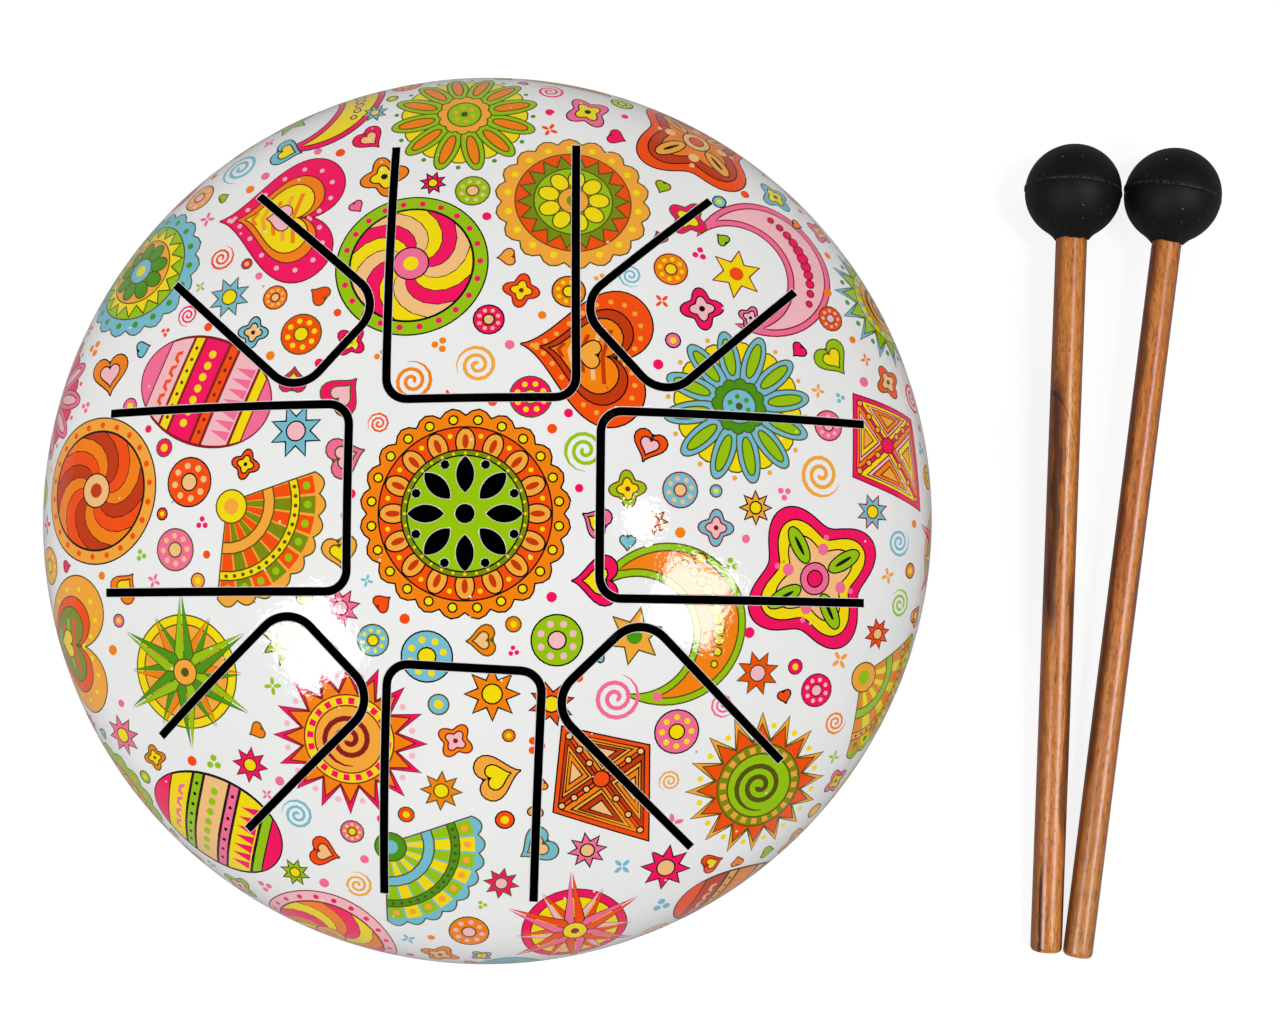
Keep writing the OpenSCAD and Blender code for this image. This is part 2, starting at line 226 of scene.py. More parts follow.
class TongueDrumStage(bpy.types.PropertyGroup):
    """Camera, lamps and floor."""

    camera_place: FloatVectorProperty(
        name="Camera place", description="Where the camera stands", subtype="XYZ", unit="LENGTH",
        default=(-5.6 * MM, -35.4 * MM, 622 * MM),
    )
    camera_turn: FloatVectorProperty(
        name="Camera turn", description="Camera's turn from looking straight down", subtype="EULER",
        default=(math.radians(4.30), math.radians(0.09), 0),
    )
    lens: FloatProperty(name="Lens", description="Focal length in millimetres", default=54.78, min=1)
    room_light: share_setting("Room light", "Strength of the room's light from low down", 1.02, 4)
    ceiling_light: share_setting("Ceiling light", "Strength of the room's light from overhead", 0.3, 4)
    light_lean: FloatVectorProperty(
        name="Room light's lean", size=2, default=(-0.2, 0.2), min=-1, max=1,
        description="How much stronger the room's light is towards the right and the back",
    )
    room_mirrored: share_setting("Mirrored room", "Share of the room's light that gloss shows", 0.12)
    left_power: power_setting("Left lamp power", "Power of the large left lamp", 6.4)
    right_power: power_setting("Right lamp power", "Power of the large right lamp", 4.6)
    small_power: power_setting("Small lamp power", "Power of the small lamp", 3.8)
    lamp_w: size_setting("Lamp width", "Width of each large lamp", 370)
    lamp_reach: size_setting("Lamp distance", "Distance of the lamps from the crown", 1500)
    left_glint: pair_setting("Left glint", "Where the left lamp shines on the crown", (-41.5, -36))
    right_glint: pair_setting("Right glint", "Where the right lamp shines on the crown", (57, -26))
    small_glint: pair_setting("Small glint", "Where the small lamp shines on the crown", (44, -5.4))
    floor_w: size_setting("Floor", "Width of the floor", 8000)


def drum_settings(part):
    """Settings of one part of the drum."""
    return getattr(bpy.context.scene, "tongue_drum_" + part)


# Outlines


def polar(reach, turn):
    """Points at distances from the middle and turns round it."""
    return np.column_stack([reach * np.cos(turn), reach * np.sin(turn)])


def direction(turn):
    """Direction at a turn round the middle."""
    return np.array([math.cos(turn), math.sin(turn)])


def loop_area(points):
    """Signed area of a closed outline."""
    x, y = points.T
    return np.sum(x * np.roll(y, -1) - y * np.roll(x, -1)) / 2


def counter_clockwise(points):
    """Closed outline that runs counter-clockwise from its outermost point on the right."""
    points = points if loop_area(points) > 0 else points[::-1]
    return np.roll(points, -int(np.argmax(points[:, 0])), 0)


def refined(points, step):
    """Closed outline with more points along its long edges."""
    ahead = np.roll(points, -1, 0) - points
    parts = np.maximum(1, np.ceil(np.hypot(*ahead.T) / step)).astype(int)
    start = np.repeat(np.arange(len(points)), parts)
    share = (np.arange(len(start)) - np.repeat(np.cumsum(parts) - parts, parts)) / parts[start]
    return points[start] + ahead[start] * share[:, None]


def straight(start, end, step):
    """Points along a line, without its end."""
    count = max(1, math.ceil(math.dist(start, end) / step))
    share = np.arange(count)[:, None] / count
    return np.array(start) * (1 - share) + np.array(end) * share


def arc(centre, radius, start, end, step):
    """Points along a round arc, without its end."""
    count = max(4, math.ceil(abs(end - start) * radius / step))
    turn = start + (end - start) * np.arange(count) / count
    return np.array(centre) + polar(radius, turn)


def grow(points, width):
    """Counter-clockwise outline, moved outwards by a width."""
    into = points - np.roll(points, 1, 0)
    out_of = np.roll(points, -1, 0) - points
    sides = [
        np.column_stack([edge[:, 1], -edge[:, 0]]) / np.maximum(np.hypot(*edge.T), TINY)[:, None]
        for edge in (into, out_of)
    ]
    both = sides[0] + sides[1]
    sharpest = 0.8
    grown = points + both * (2 * width / np.maximum(np.sum(both**2, 1), sharpest))[:, None]
    while True:
        ahead = np.sum((np.roll(points, -1, 0) - points) * (np.roll(grown, -1, 0) - grown), 1) > 0
        kept = ahead & np.roll(ahead, 1)
        if kept.all() or kept.sum() < 4:
            return grown
        points, grown = points[kept], grown[kept]


# Sections of the pressed shells


class Section:
    """Half section of a shell from its middle outwards: a flat, then arcs that run on into each other."""

    def __init__(self, flat_r, flat_z, side, arcs):
        self.flat_r = flat_r
        self.flat_z = flat_z
        self.side = side
        self.arcs = arcs
        self.length = flat_r + sum(radius * (end - start) for _, _, radius, start, end in arcs)

    def at(self, along, depth):
        """Radius, height and slope at distances along the section, at a depth under its outside."""
        radius = np.minimum(along, self.flat_r)
        height = np.full_like(radius, self.flat_z - self.side * depth)
        slope = np.zeros_like(radius)
        passed = self.flat_r
        for centre_r, centre_z, arc_r, start, end in self.arcs:
            beyond = along >= passed
            here = np.minimum(start + (along - passed) / arc_r, end)
            slope = np.where(beyond, here, slope)
            radius = np.where(beyond, centre_r + (arc_r - depth) * np.sin(here), radius)
            height = np.where(beyond, centre_z + self.side * (arc_r - depth) * np.cos(here), height)
            passed += arc_r * (end - start)
        return radius, height, slope

    def along(self, radius, depth):
        """Distance along the section of points at a radius and at a depth under the outside."""
        found = np.minimum(radius, self.flat_r)
        passed = self.flat_r
        for centre_r, _, arc_r, start, end in self.arcs:
            slope = np.arcsin(np.clip((radius - centre_r) / (arc_r - depth), -1, 1))
            beyond = (slope >= start) & (radius >= self.flat_r)
            found = np.where(beyond, passed + arc_r * (np.minimum(slope, end) - start), found)
            passed += arc_r * (end - start)
        return found

    def lift(self, flat, depth):
        """Places points of the developed sheet about the axis, with their outward normals."""
        along = np.hypot(*flat.T)
        radius, height, slope = self.at(along, depth)
        spoke = flat / np.maximum(along, TINY)[:, None]
        places = np.column_stack([spoke * radius[:, None], height])
        normals = np.column_stack([spoke * np.sin(slope)[:, None], self.side * np.cos(slope)])
        return places, normals

    def flatten(self, plan, depth=0.0):
        """Points seen from above, laid out on the developed sheet."""
        radius = np.hypot(*plan.T)
        return plan * (self.along(radius, depth) / np.maximum(radius, TINY))[:, None]


def shell_section(flat_r, side):
    """Outside of a shell, from the edge of its flat middle to the seam's groove. Side is 1 for the dome."""
    shells = drum_settings("shells")
    dome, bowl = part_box("top_shell"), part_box("bottom_shell")
    seam_z = (bowl[1].z + dome[0].z) / 2
    edge, middle = dome if side > 0 else bowl[::-1]
    rise = side * (middle.z - seam_z)
    shoulder_x = shells.rim_d / 2 - shells.shoulder_r
    run = shoulder_x - flat_r
    bend_r = (run**2 + rise**2 - shells.shoulder_r**2) / (2 * (rise - shells.shoulder_r))
    join = math.asin(run / (bend_r - shells.shoulder_r))
    end = math.acos(side * (edge.z - seam_z) / shells.shoulder_r)
    bend = (flat_r, middle.z - side * bend_r, bend_r, 0, join)
    shoulder = (shoulder_x, seam_z, shells.shoulder_r, join, end)
    return Section(flat_r, middle.z, side, [bend, shoulder])


def dome_section():
    """Outside of the dome."""
    return shell_section(0, 1)


# Cuts, as they lie when seen from above, about the drum's axis


class TongueCut:
    """U-shaped cut round a tongue, whose line is measured from the tongue's own node and hinge."""

    step = 2.6 * MM
    corner_step = 1.3 * MM

    def __init__(self, node, joint, corner, slot_w):
        points = np.array([vertex.co[:2] for vertex in frame["nodes"][node].data.vertices]) - drum_axis
        left = np.array(joint["axis"][:2])
        out = np.array([left[1], -left[0]])
        if points.mean(0) @ out < 0:
            left, out = -left, -out
        ahead, aside = points @ out, points @ left
        self.node = node
        self.root_z = joint["pos_m"][2]
        self.out, self.left = out, left
        self.half = slot_w / 2
        self.tip = ahead.min() - self.half
        self.length = ahead.max() - self.tip
        self.width = aside.max() - aside.min() + slot_w
        self.shift = (aside.max() + aside.min()) / 2
        self.corner = corner

    def clearance(self, plan):
        """Distance of points from the cut's edge."""
        ahead = plan @ self.out - self.tip
        aside = np.abs(plan @ self.left - self.shift)
        before, beyond = self.corner - ahead, aside - (self.width / 2 - self.corner)
        line = np.minimum(np.maximum(before, beyond), 0) - self.corner
        line += np.hypot(np.maximum(before, 0), np.maximum(beyond, 0))
        past = np.maximum(np.abs(aside - self.width / 2) - self.half, 0)
        past = np.hypot(np.maximum(ahead - self.length, 0), past)
        return np.where(ahead > self.length, past, np.abs(line) - self.half)

    def place(self, points):
        """Puts points of the tongue's own frame, tip at zero, about the axis."""
        return (points[:, :1] + self.tip) * self.out + (points[:, 1:] + self.shift) * self.left

    def side_line(self, away, root):
        """Open line beside the middle of the cut, from one root corner round the tip to the other."""
        half_w, corner_y = self.width / 2 + away, self.width / 2 - self.corner
        radius = self.corner + away
        return np.vstack([
            straight((root, -half_w), (self.corner, -half_w), self.step),
            arc((self.corner, -corner_y), radius, -QUARTER, -2 * QUARTER, self.corner_step),
            straight((-away, -corner_y), (-away, corner_y), self.step),
            arc((self.corner, corner_y), radius, 2 * QUARTER, QUARTER, self.corner_step),
            straight((self.corner, half_w), (root, half_w), self.step),
            [(root, half_w)],
        ])

    def band(self, away):
        """Outline of the cut, grown by a distance."""
        root = self.length + away
        outer = self.side_line(self.half + away, root)
        inner = self.side_line(-self.half - away, root)
        return self.place(np.vstack([outer, inner[::-1]]))

    def bend(self, length):
        """Start of the bend on the tongue's root line, and its end nearer the tip."""
        ends = self.place(np.array([(self.length, 0), (self.length - length, 0)])) + drum_axis
        return [(*end, self.root_z) for end in ends.tolist()]

    def body(self):
        """Outline of the tongue, out to the middle of its cut and to its root line."""
        corner = self.width / 2
        root = straight((self.length, corner), (self.length, -corner), self.step)
        return self.place(np.vstack([self.side_line(0, self.length)[:-1], root]))


class RoundCut:
    """Round hole."""

    def __init__(self, centre, radius, step=1.2 * MM):
        self.centre = np.array(centre)
        self.radius = radius
        self.step = step

    def clearance(self, plan):
        """Distance of points from the hole's edge."""
        return np.hypot(*(plan - self.centre).T) - self.radius

    def band(self, away):
        """Outline of the hole, grown by a distance."""
        return arc(self.centre, self.radius + away, 0, TURN, self.step)


class PetalCut:
    """Pointed hole where two equal circles cross."""

    step = 0.9 * MM

    def __init__(self, centre, heading, length, width):
        self.centre = np.array(centre)
        self.heading = direction(heading)
        self.aside = np.array([-self.heading[1], self.heading[0]])
        self.side_r = (length**2 + width**2) / (4 * width)
        self.offset = self.side_r - width / 2

    def clearance(self, plan):
        """Distance of points from the hole's edge."""
        ahead = (plan - self.centre) @ self.heading
        aside = np.abs((plan - self.centre) @ self.aside)
        return np.hypot(ahead, aside + self.offset) - self.side_r

    def band(self, away):
        """Outline of the hole, grown by a distance."""
        radius = self.side_r + away
        half = math.acos(self.offset / radius)
        upper = arc((0, -self.offset), radius, QUARTER - half, QUARTER + half, self.step)
        line = np.vstack([upper, -upper])
        return self.centre + line[:, :1] * self.heading + line[:, 1:] * self.aside


def tongue_cuts():
    """Cuts round the eight tongues, long and short in turn."""
    cuts = drum_settings("cuts")
    corners = (cuts.long_corner, cuts.short_corner)
    hinges = [joint for joint in frame["joints"] if joint["type"] == "hinge"]
    return [
        TongueCut(joint["child"], joint, corners[place % 2], cuts.slot_w)
        for place, joint in enumerate(hinges)
    ]


def rosette_cuts():
    """Holes of the rosette in the middle of the crown."""
    cuts = drum_settings("cuts")
    middle = np.array(cuts.rosette_place)
    found = [RoundCut(middle, cuts.eye_d / 2)]
    petal_r = cuts.petal_root_r + cuts.petal_len / 2
    for petal in range(cuts.petals):
        turn = QUARTER + petal * TURN / cuts.petals
        found.append(PetalCut(middle + petal_r * direction(turn), turn, cuts.petal_len, cuts.petal_w))
        turn = QUARTER + (petal + 0.5) * TURN / cuts.petals
        found.append(RoundCut(middle + cuts.pearl_r * direction(turn), cuts.pearl_d / 2))
    return found


def bowl_cuts():
    """Sound port and screw holes of the bowl."""
    holes = [RoundCut((0, 0), port_r, 2.5 * MM)]
    screw_hole_r = drum_settings("feet").hole_d / 2
    for foot in range(1, 5):
        low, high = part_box(f"foot_{foot}")
        middle = np.array(((low + high) / 2)[:2]) - drum_axis
        holes.append(RoundCut(middle, screw_hole_r))
    return holes


# The print


class Pen:
    """Lays flat ink shapes on the developed sheet, each over the ones before it."""

    whole = 18 * MM
    longest = 3 * MM

    def __init__(self, line_w):
        self.line_w = line_w
        self.edge = "line"
        self.shapes = []
        self.move((0, 0), 0, self.whole)

    def move(self, centre, heading, size):
        """Sets where the next shapes go: their middle, their turn and the length of their unit."""
        self.centre = np.array(centre)
        self.turn = turning(heading)
        self.size = size

    def lay(self, ink, points):
        """Lays a filled shape."""
        placed = refined(self.centre + points @ self.turn * self.size, self.longest)
        self.shapes.append((ink, counter_clockwise(placed)))

    def outlined(self, ink, points):
        """Lays a filled shape with a drawn outline round it."""
        points = counter_clockwise(points)
        self.lay(self.edge, grow(points, self.line_w / self.size))
        self.lay(ink, points)

    def ring(self, count, late, *layers):
        """Lays layers at even turns round the middle, the first of them late by a share of a step."""
        for place in range(count):
            for lay, ink, points in layers:
                lay(ink, spun(points, (place + late) * TURN / count))

    def steps(self, around):
        """Number of points for a curve of this length in units."""
        return max(9, round(around * self.size / self.whole * 9) + 6)

    def circle(self, radius, finer=1):
        """Even turns for the points of a closed curve."""
        count = self.steps(TURN * radius) * finer
        return np.arange(count) * TURN / count

    def round(self, radius, x=0.0, y=0.0):
        """Circle."""
        return polar(radius, self.circle(radius)) + (x, y)

    def wavy(self, radius, lobes, depth):
        """Closed curve with round lobes."""
        count = lobes * max(4, self.steps(TURN * radius) // lobes)
        turn = np.arange(count) * TURN / count
        return polar(radius * (1 - depth + depth * np.abs(np.sin(turn * lobes / 2))), turn)

    def flower(self, radius, lobes, depth):
        """Closed curve that swells and narrows smoothly."""
        turn = self.circle(radius, 2)
        return polar(radius * (1 - depth + depth * np.cos(turn * lobes)), turn)

    def star(self, points, tip_r, valley_r):
        """Star with straight sides."""
        corners = np.arange(2 * points)
        return polar(np.where(corners % 2, valley_r, tip_r), corners * math.pi / points)

    def leaf(self, start, end, width):
        """Pointed oval along the heading, from one distance to another."""
        across = np.linspace(0, math.pi, self.steps(2 * (end - start)), endpoint=False)
        x = start + (end - start) * (1 - np.cos(across)) / 2
        y = width / 2 * np.sin(across)
        return np.column_stack([np.append(x, x[::-1][:-1]), np.append(-y, y[::-1][:-1])])

    def sector(self, inner, outer, start, end):
        """Piece of a ring between two turns."""
        turn = np.linspace(start, end, max(2, self.steps((end - start) * outer) // 2))
        return np.vstack([polar(outer, turn), polar(inner, turn)[::-1]])

    def blade(self, inner, outer, start, end, twist):
        """Piece of a ring whose sides curl round."""
        share = np.linspace(0, 1, 7)
        sides = [polar(inner + (outer - inner) * share, turn + twist * share**1.4) for turn in (start, end)]
        rim = self.sector(inner, outer, start + twist, end + twist)
        return np.vstack([sides[0], rim[: len(rim) // 2][1:-1], sides[1][::-1]])

    def crescent(self, radius, reach, offset):
        """Circle with another circle taken out of its right side."""
        meet = math.acos((radius**2 + offset**2 - reach**2) / (2 * radius * offset))
        hollow = math.atan2(radius * math.sin(meet), radius * math.cos(meet) - offset)
        count = self.steps(4 * radius)
        back = np.linspace(meet, TURN - meet, count)
        front = np.linspace(TURN - hollow, hollow, count)[1:-1]
        return np.vstack([polar(radius, back), polar(reach, front) + (offset, 0)])

    def heart(self, size):
        """Heart, point down."""
        count = self.steps(6 * size) + 8
        turn = (np.arange(count) + 0.5) * TURN / count
        x = 16 * np.sin(turn) ** 3
        y = 13 * np.cos(turn) - 5 * np.cos(2 * turn) - 2 * np.cos(3 * turn) - np.cos(4 * turn)
        return np.column_stack([x, y + 2.4]) * size / 16.6

    def coil(self, radius, turns, width):
        """Ribbon wound from the middle outwards."""
        count = self.steps(TURN * radius * turns / 1.6)
        share = np.linspace(0.08, 1, count)
        line = polar(radius * share, share * turns * TURN)
        return ribbon(line, width * np.minimum(1, 8 * (1.02 - share)))


def ribbon(line, width):
    """Outline of a line drawn with a width."""
    ahead = np.gradient(line, axis=0)
    aside = np.column_stack([-ahead[:, 1], ahead[:, 0]]) / np.maximum(np.hypot(*ahead.T), TINY)[:, None]
    half = aside * (np.broadcast_to(width, len(line))[:, None] / 2)
    return np.vstack([line + half, (line - half)[::-1]])


def turning(turn):
    """Matrix that turns rows of points about the middle."""
    c, s = math.cos(turn), math.sin(turn)
    return np.array([[c, s], [-s, c]])


def spun(points, turn):
    """Points turned about the middle."""
    return points @ turning(turn)


def draw_medallion(pen, inks):
    """Round medallion: scallops, beads, rays and a petalled middle."""
    pen.outlined(inks[0], pen.wavy(1, 18, 0.09))
    pen.ring(18, 0.5, (pen.lay, inks[3], pen.round(0.048, 0.85)))
    pen.outlined(inks[1], pen.round(0.74))
    pen.outlined(inks[2], pen.star(18, 0.7, 0.54))
    pen.outlined(inks[4], pen.round(0.5))
    pen.ring(9, 0, (pen.outlined, inks[3], pen.leaf(0.2, 0.46, 0.2)))
    pen.outlined(inks[0], pen.round(0.19))
    pen.lay(inks[2], pen.round(0.09))


def draw_sun(pen, inks):
    """Sun with two rings of rays and a coil in its disc."""
    pen.outlined(inks[0], pen.star(16, 1, 0.62))
    pen.outlined(inks[1], pen.star(16, 0.84, 0.6))
    pen.ring(16, 0.5, (pen.lay, inks[3], pen.round(0.042, 0.84)))
    pen.outlined(inks[2], pen.round(0.58))
    pen.ring(20, 0, (pen.lay, inks[0], pen.sector(0.47, 0.555, 0, 0.16)))
    pen.outlined(inks[4], pen.round(0.44))
    pen.lay(pen.edge, pen.coil(0.36, 2.4, 0.07))


def draw_compass(pen, inks):
    """Star of long and short points, each in two shades, over a ring."""
    pen.outlined(inks[2], pen.round(0.72))
    pen.outlined(inks[3], pen.round(0.6))
    pen.ring(24, 0, (pen.lay, inks[2], pen.round(0.03, 0.66)))
    for reach, waist, ink, late in ((0.8, 0.24, 1, 0.5), (1, 0.26, 0, 0)):
        x, y = waist * direction(TURN / 12)
        halves = [np.array([(0.02, 0.01 * side), (x, side * y), (reach, 0.01 * side)]) for side in (1, -1)]
        pen.ring(6, late, (pen.outlined, inks[ink], halves[0]), (pen.outlined, inks[4], halves[1]))
    pen.outlined(inks[3], pen.round(0.16))
    pen.lay(pen.edge, pen.round(0.06))


def draw_heart(pen, inks):
    """Hearts inside each other, with beads and stripes."""
    pen.outlined(inks[0], pen.heart(1))
    beads = pen.heart(0.83)
    for bead in beads[:: max(1, len(beads) // 22)]:
        pen.lay(inks[3], pen.round(0.036, *bead))
    pen.outlined(inks[1], pen.heart(0.7))
    pen.outlined(inks[2], pen.heart(0.55))
    for place in range(5):
        level = 0.27 - 0.15 * place
        half = 0.44 - 0.085 * place - 0.05 * (place == 0)
        low = [(-half, level), (0, level - 0.07), (half, level)]
        high = [(half, level + 0.06), (0, level - 0.01), (-half, level + 0.06)]
        pen.lay(inks[4] if place % 2 else inks[1], np.array(low + high))
    pen.outlined(inks[3], pen.heart(0.2) + (0, 0.02))


def draw_fan(pen, inks):
    """Open fan with lobed edge, ribs and bands."""
    foot, low, high, ribs = np.array([0, -0.66]), math.radians(33), math.radians(147), 9
    lobe = (high - low) / ribs
    turn = np.linspace(low, high, 8 * ribs + 1)
    edge = polar(1.2 + 0.08 * np.abs(np.sin((turn - low) * math.pi / lobe)), turn)
    pen.outlined(inks[0], np.vstack([edge, [(0, 0)]]) + foot)
    for rib in range(ribs):
        start = low + rib * lobe
        pen.lay(inks[1 + rib % 2], pen.sector(0.22, 1.16, start + 0.015, start + lobe - 0.015) + foot)
        pen.lay(inks[4], pen.round(0.05, *(1.06 * direction(start + lobe / 2))) + foot)
    for inner, outer, ink in ((0.86, 0.95, 3), (0.5, 0.62, 0)):
        pen.outlined(inks[ink], pen.sector(inner, outer, low, high) + foot)
    for bead in np.linspace(low + 0.09, high - 0.09, 15):
        pen.lay(pen.edge, pen.round(0.026, *(0.905 * direction(bead))) + foot)
    hub = foot + (0, 0.06)
    pen.outlined(inks[3], pen.round(0.2) + hub)
    pen.lay(inks[0], pen.round(0.1) + hub)


def oval_slice(pen, half_w, low, high):
    """Band of an upright oval between two levels."""
    count = max(3, pen.steps(high - low) // 2)
    level = np.linspace(low, high, count)
    side = half_w * np.sqrt(np.maximum(0, 1 - level**2))
    return np.column_stack([np.append(side, -side[::-1]), np.append(level, level[::-1])])


def draw_egg(pen, inks):
    """Upright oval in bands: stripes, zigzags, beads and waves."""
    half_w = 0.7
    bands = (
        (-0.78, -0.66, 3), (-0.62, -0.28, 1), (-0.24, -0.12, 4),
        (-0.08, 0.26, 2), (0.3, 0.42, 3), (0.46, 0.74, 1),
    )
    pen.outlined(inks[0], pen.round(1) * (half_w, 1))
    for low, high, ink in bands:
        pen.outlined(inks[ink], oval_slice(pen, half_w - 0.02, low, high))
    teeth = 7
    for tooth in range(teeth):
        left = -0.5 + tooth / teeth
        middle = left + 0.5 / teeth
        pen.lay(inks[0], np.array([(left, -0.6), (left + 0.9 / teeth, -0.6), (left + 0.45 / teeth, -0.32)]))
        pen.lay(inks[3], pen.round(0.055, middle * 1.12, 0.09))
        pen.lay(pen.edge, pen.round(0.026, middle * 1.2, -0.18))
        pen.lay(pen.edge, pen.round(0.026, middle * 1.14, 0.36))
    for wave in range(4):
        pen.lay(inks[4], pen.sector(0.045, 0.1, 0, math.pi) + (-0.3 + 0.2 * wave, 0.53))


def draw_tile(pen, inks):
    """Four-lobed tile with pointed ovals in its corners."""
    for radius, depth, ink in ((1, 0.16, 0), (0.82, 0.18, 1), (0.6, 0.2, 2)):
        pen.outlined(inks[ink], pen.flower(radius, 4, depth))
    oval, slit = pen.leaf(0.24, 0.74, 0.2), pen.leaf(0.34, 0.62, 0.05)
    pen.ring(4, 0, (pen.outlined, inks[3], oval), (pen.lay, pen.edge, slit))
    pen.ring(4, 0.5, (pen.lay, inks[4], pen.round(0.04, 0.56)), (pen.lay, inks[4], pen.round(0.08, 0.4)))
    pen.outlined(inks[4], pen.round(0.2))
    pen.outlined(inks[0], pen.round(0.1))


def draw_pinwheel(pen, inks):
    """Wheel of curling blades inside a beaded ring."""
    pen.outlined(inks[3], pen.round(0.98))
    pen.ring(22, 0, (pen.lay, inks[0], pen.round(0.042, 0.89)))
    pen.lay(pen.edge, pen.round(0.82))
    blades = 12
    for place in range(blades):
        turn = place * TURN / blades
        pen.lay(inks[place % 3], pen.blade(0.2, 0.79, turn, turn + TURN / blades - 0.035, 1.1))
    pen.outlined(inks[4], pen.round(0.22))
    pen.lay(inks[1], pen.round(0.1))


def draw_moon(pen, inks):
    """Crescent with a beaded back and a star in its arms."""
    pen.outlined(inks[0], pen.crescent(1, 0.74, 0.42))
    pen.outlined(inks[1], pen.crescent(0.91, 0.83, 0.42))
    for place in range(-5, 6):
        bead = pen.round(0.075 - 0.008 * abs(place), 0.64 + 0.012 * place**2 / 2)
        pen.outlined(inks[2], spun(bead, math.pi + place * 0.2))
    pen.outlined(inks[3], pen.star(6, 0.34, 0.17) + (0.44, 0))
    pen.lay(inks[4], pen.round(0.1, 0.44))


def draw_kite(pen, inks):
    """Diamond in four panels, with stripes and a beaded cross."""
    corners = np.array([(0, 1), (-0.76, 0.12), (0, -1), (0.76, 0.12)])
    middle = np.array((0, 0.12))
    pen.outlined(inks[0], grow(corners, -0.02))
    for place in range(4):
        panel = np.array([middle, corners[place], corners[(place + 1) % 4]]) - middle
        centre = panel.mean(0)
        for share, ink in ((0.9, 1 + place % 2), (0.66, 3), (0.5, 1 + (place + 1) % 2), (0.26, 4)):
            pen.outlined(inks[ink], middle + centre * 0.9 + (panel - centre) * share * 0.88)
    for end in corners:
        for share in (0.3, 0.55, 0.8):
            pen.outlined(inks[4], pen.round(0.035, *(middle + (end - middle) * share)))
    pen.outlined(inks[0], pen.round(0.1, *middle))


def draw_wheel(pen, inks):
    """Wheel of long pointed ovals over a lobed disc."""
    pen.outlined(inks[2], pen.wavy(0.86, 12, 0.12))
    oval, inner = pen.leaf(0.26, 1, 0.27), pen.leaf(0.42, 0.9, 0.13)
    pen.ring(12, 0, (pen.outlined, inks[0], oval), (pen.outlined, inks[1], inner))
    pen.ring(12, 0.5, (pen.lay, inks[4], pen.round(0.034, 0.94)))
    pen.outlined(inks[3], pen.wavy(0.36, 12, 0.12))
    pen.outlined(inks[0], pen.round(0.22))
    pen.ring(6, 0, (pen.lay, inks[3], pen.round(0.035, 0.13)))
    pen.lay(pen.edge, pen.round(0.05))


# Large motifs, and the circles that each covers, in its own units
ROUND = ((0, 0, 1),)
MOTIFS = (
    (draw_medallion, ROUND),
    (draw_heart, ((-0.42, 0.42, 0.55), (0.42, 0.42, 0.55), (0, 0.05, 0.62), (0, -0.55, 0.32))),
    (draw_pinwheel, ROUND),
    (draw_egg, ((0, 0.4, 0.62), (0, 0, 0.7), (0, -0.4, 0.62))),
    (draw_compass, ROUND),
    (draw_fan, ((0, 0, 0.68), (-0.6, 0.1, 0.45), (0.6, 0.1, 0.45), (0, -0.55, 0.3))),
    (draw_sun, ROUND),
    (draw_kite, ((0, 0.1, 0.62), (0, 0.6, 0.34), (0, -0.55, 0.36), (-0.5, 0.12, 0.25), (0.5, 0.12, 0.25))),
    (draw_tile, ((0, 0, 0.95),)),
    (draw_moon, ((-0.5, 0, 0.5), (-0.1, 0.66, 0.36), (-0.1, -0.66, 0.36), (0.44, 0, 0.34), (0, 0, 0.5))),
    (draw_wheel, ROUND),
)
PALETTES = (
    ("wine", "magenta", "orange", "yellow", "blush", "amber"),
    ("bark", "lime", "orange", "yellow", "amber", "green"),
    ("line", "flame", "rust", "orange", "amber", "peach"),
    ("bark", "sky", "lime", "yellow", "green", "amber"),
    ("line", "magenta", "yellow", "peach", "lime", "pink"),
    ("bark", "amber", "flame", "olive", "yellow", "lime"),
    ("wine", "pink", "blush", "magenta", "yellow", "flame"),
)


def draw_bead(pen, bright, pale):
    """Disc with a pale middle."""
    pen.outlined(bright, pen.round(0.8))
    pen.lay(pale, pen.round(0.4))


def draw_trio(pen, bright, pale):
    """Three dots."""
    pen.ring(3, 0, (pen.lay, bright, pen.round(0.36, 0.5)))


def draw_little_heart(pen, bright, pale):
    """Plain heart."""
    pen.outlined(bright, pen.heart(0.85))


def draw_clover(pen, bright, pale):
    """Four pointed ovals."""
    pen.ring(4, 0, (pen.lay, bright, pen.leaf(0.1, 0.95, 0.42)))


def draw_star(pen, bright, pale):
    """Star with a pale middle."""
    pen.outlined(bright, pen.star(8, 0.95, 0.5))
    pen.outlined(pale, pen.round(0.34))


def draw_double_heart(pen, bright, pale):
    """Heart in a heart."""
    pen.outlined(bright, pen.heart(0.92))
    pen.outlined(pale, pen.heart(0.5))


def draw_blossom(pen, bright, pale):
    """Four-lobed blossom."""
    pen.outlined(bright, pen.flower(0.95, 4, 0.2))
    pen.outlined(pale, pen.flower(0.55, 4, 0.2))
    pen.lay(pen.edge, pen.round(0.14))


def draw_coil(pen, bright, pale):
    """Wound ribbon."""
    pen.lay(bright, pen.coil(0.9, 2.6, 0.16))


def draw_button(pen, bright, pale):
    """Disc with eight dots."""
    pen.outlined(bright, pen.round(0.9))
    pen.ring(8, 0, (pen.lay, pale, pen.round(0.13, 0.62)))
    pen.outlined(pale, pen.round(0.3))


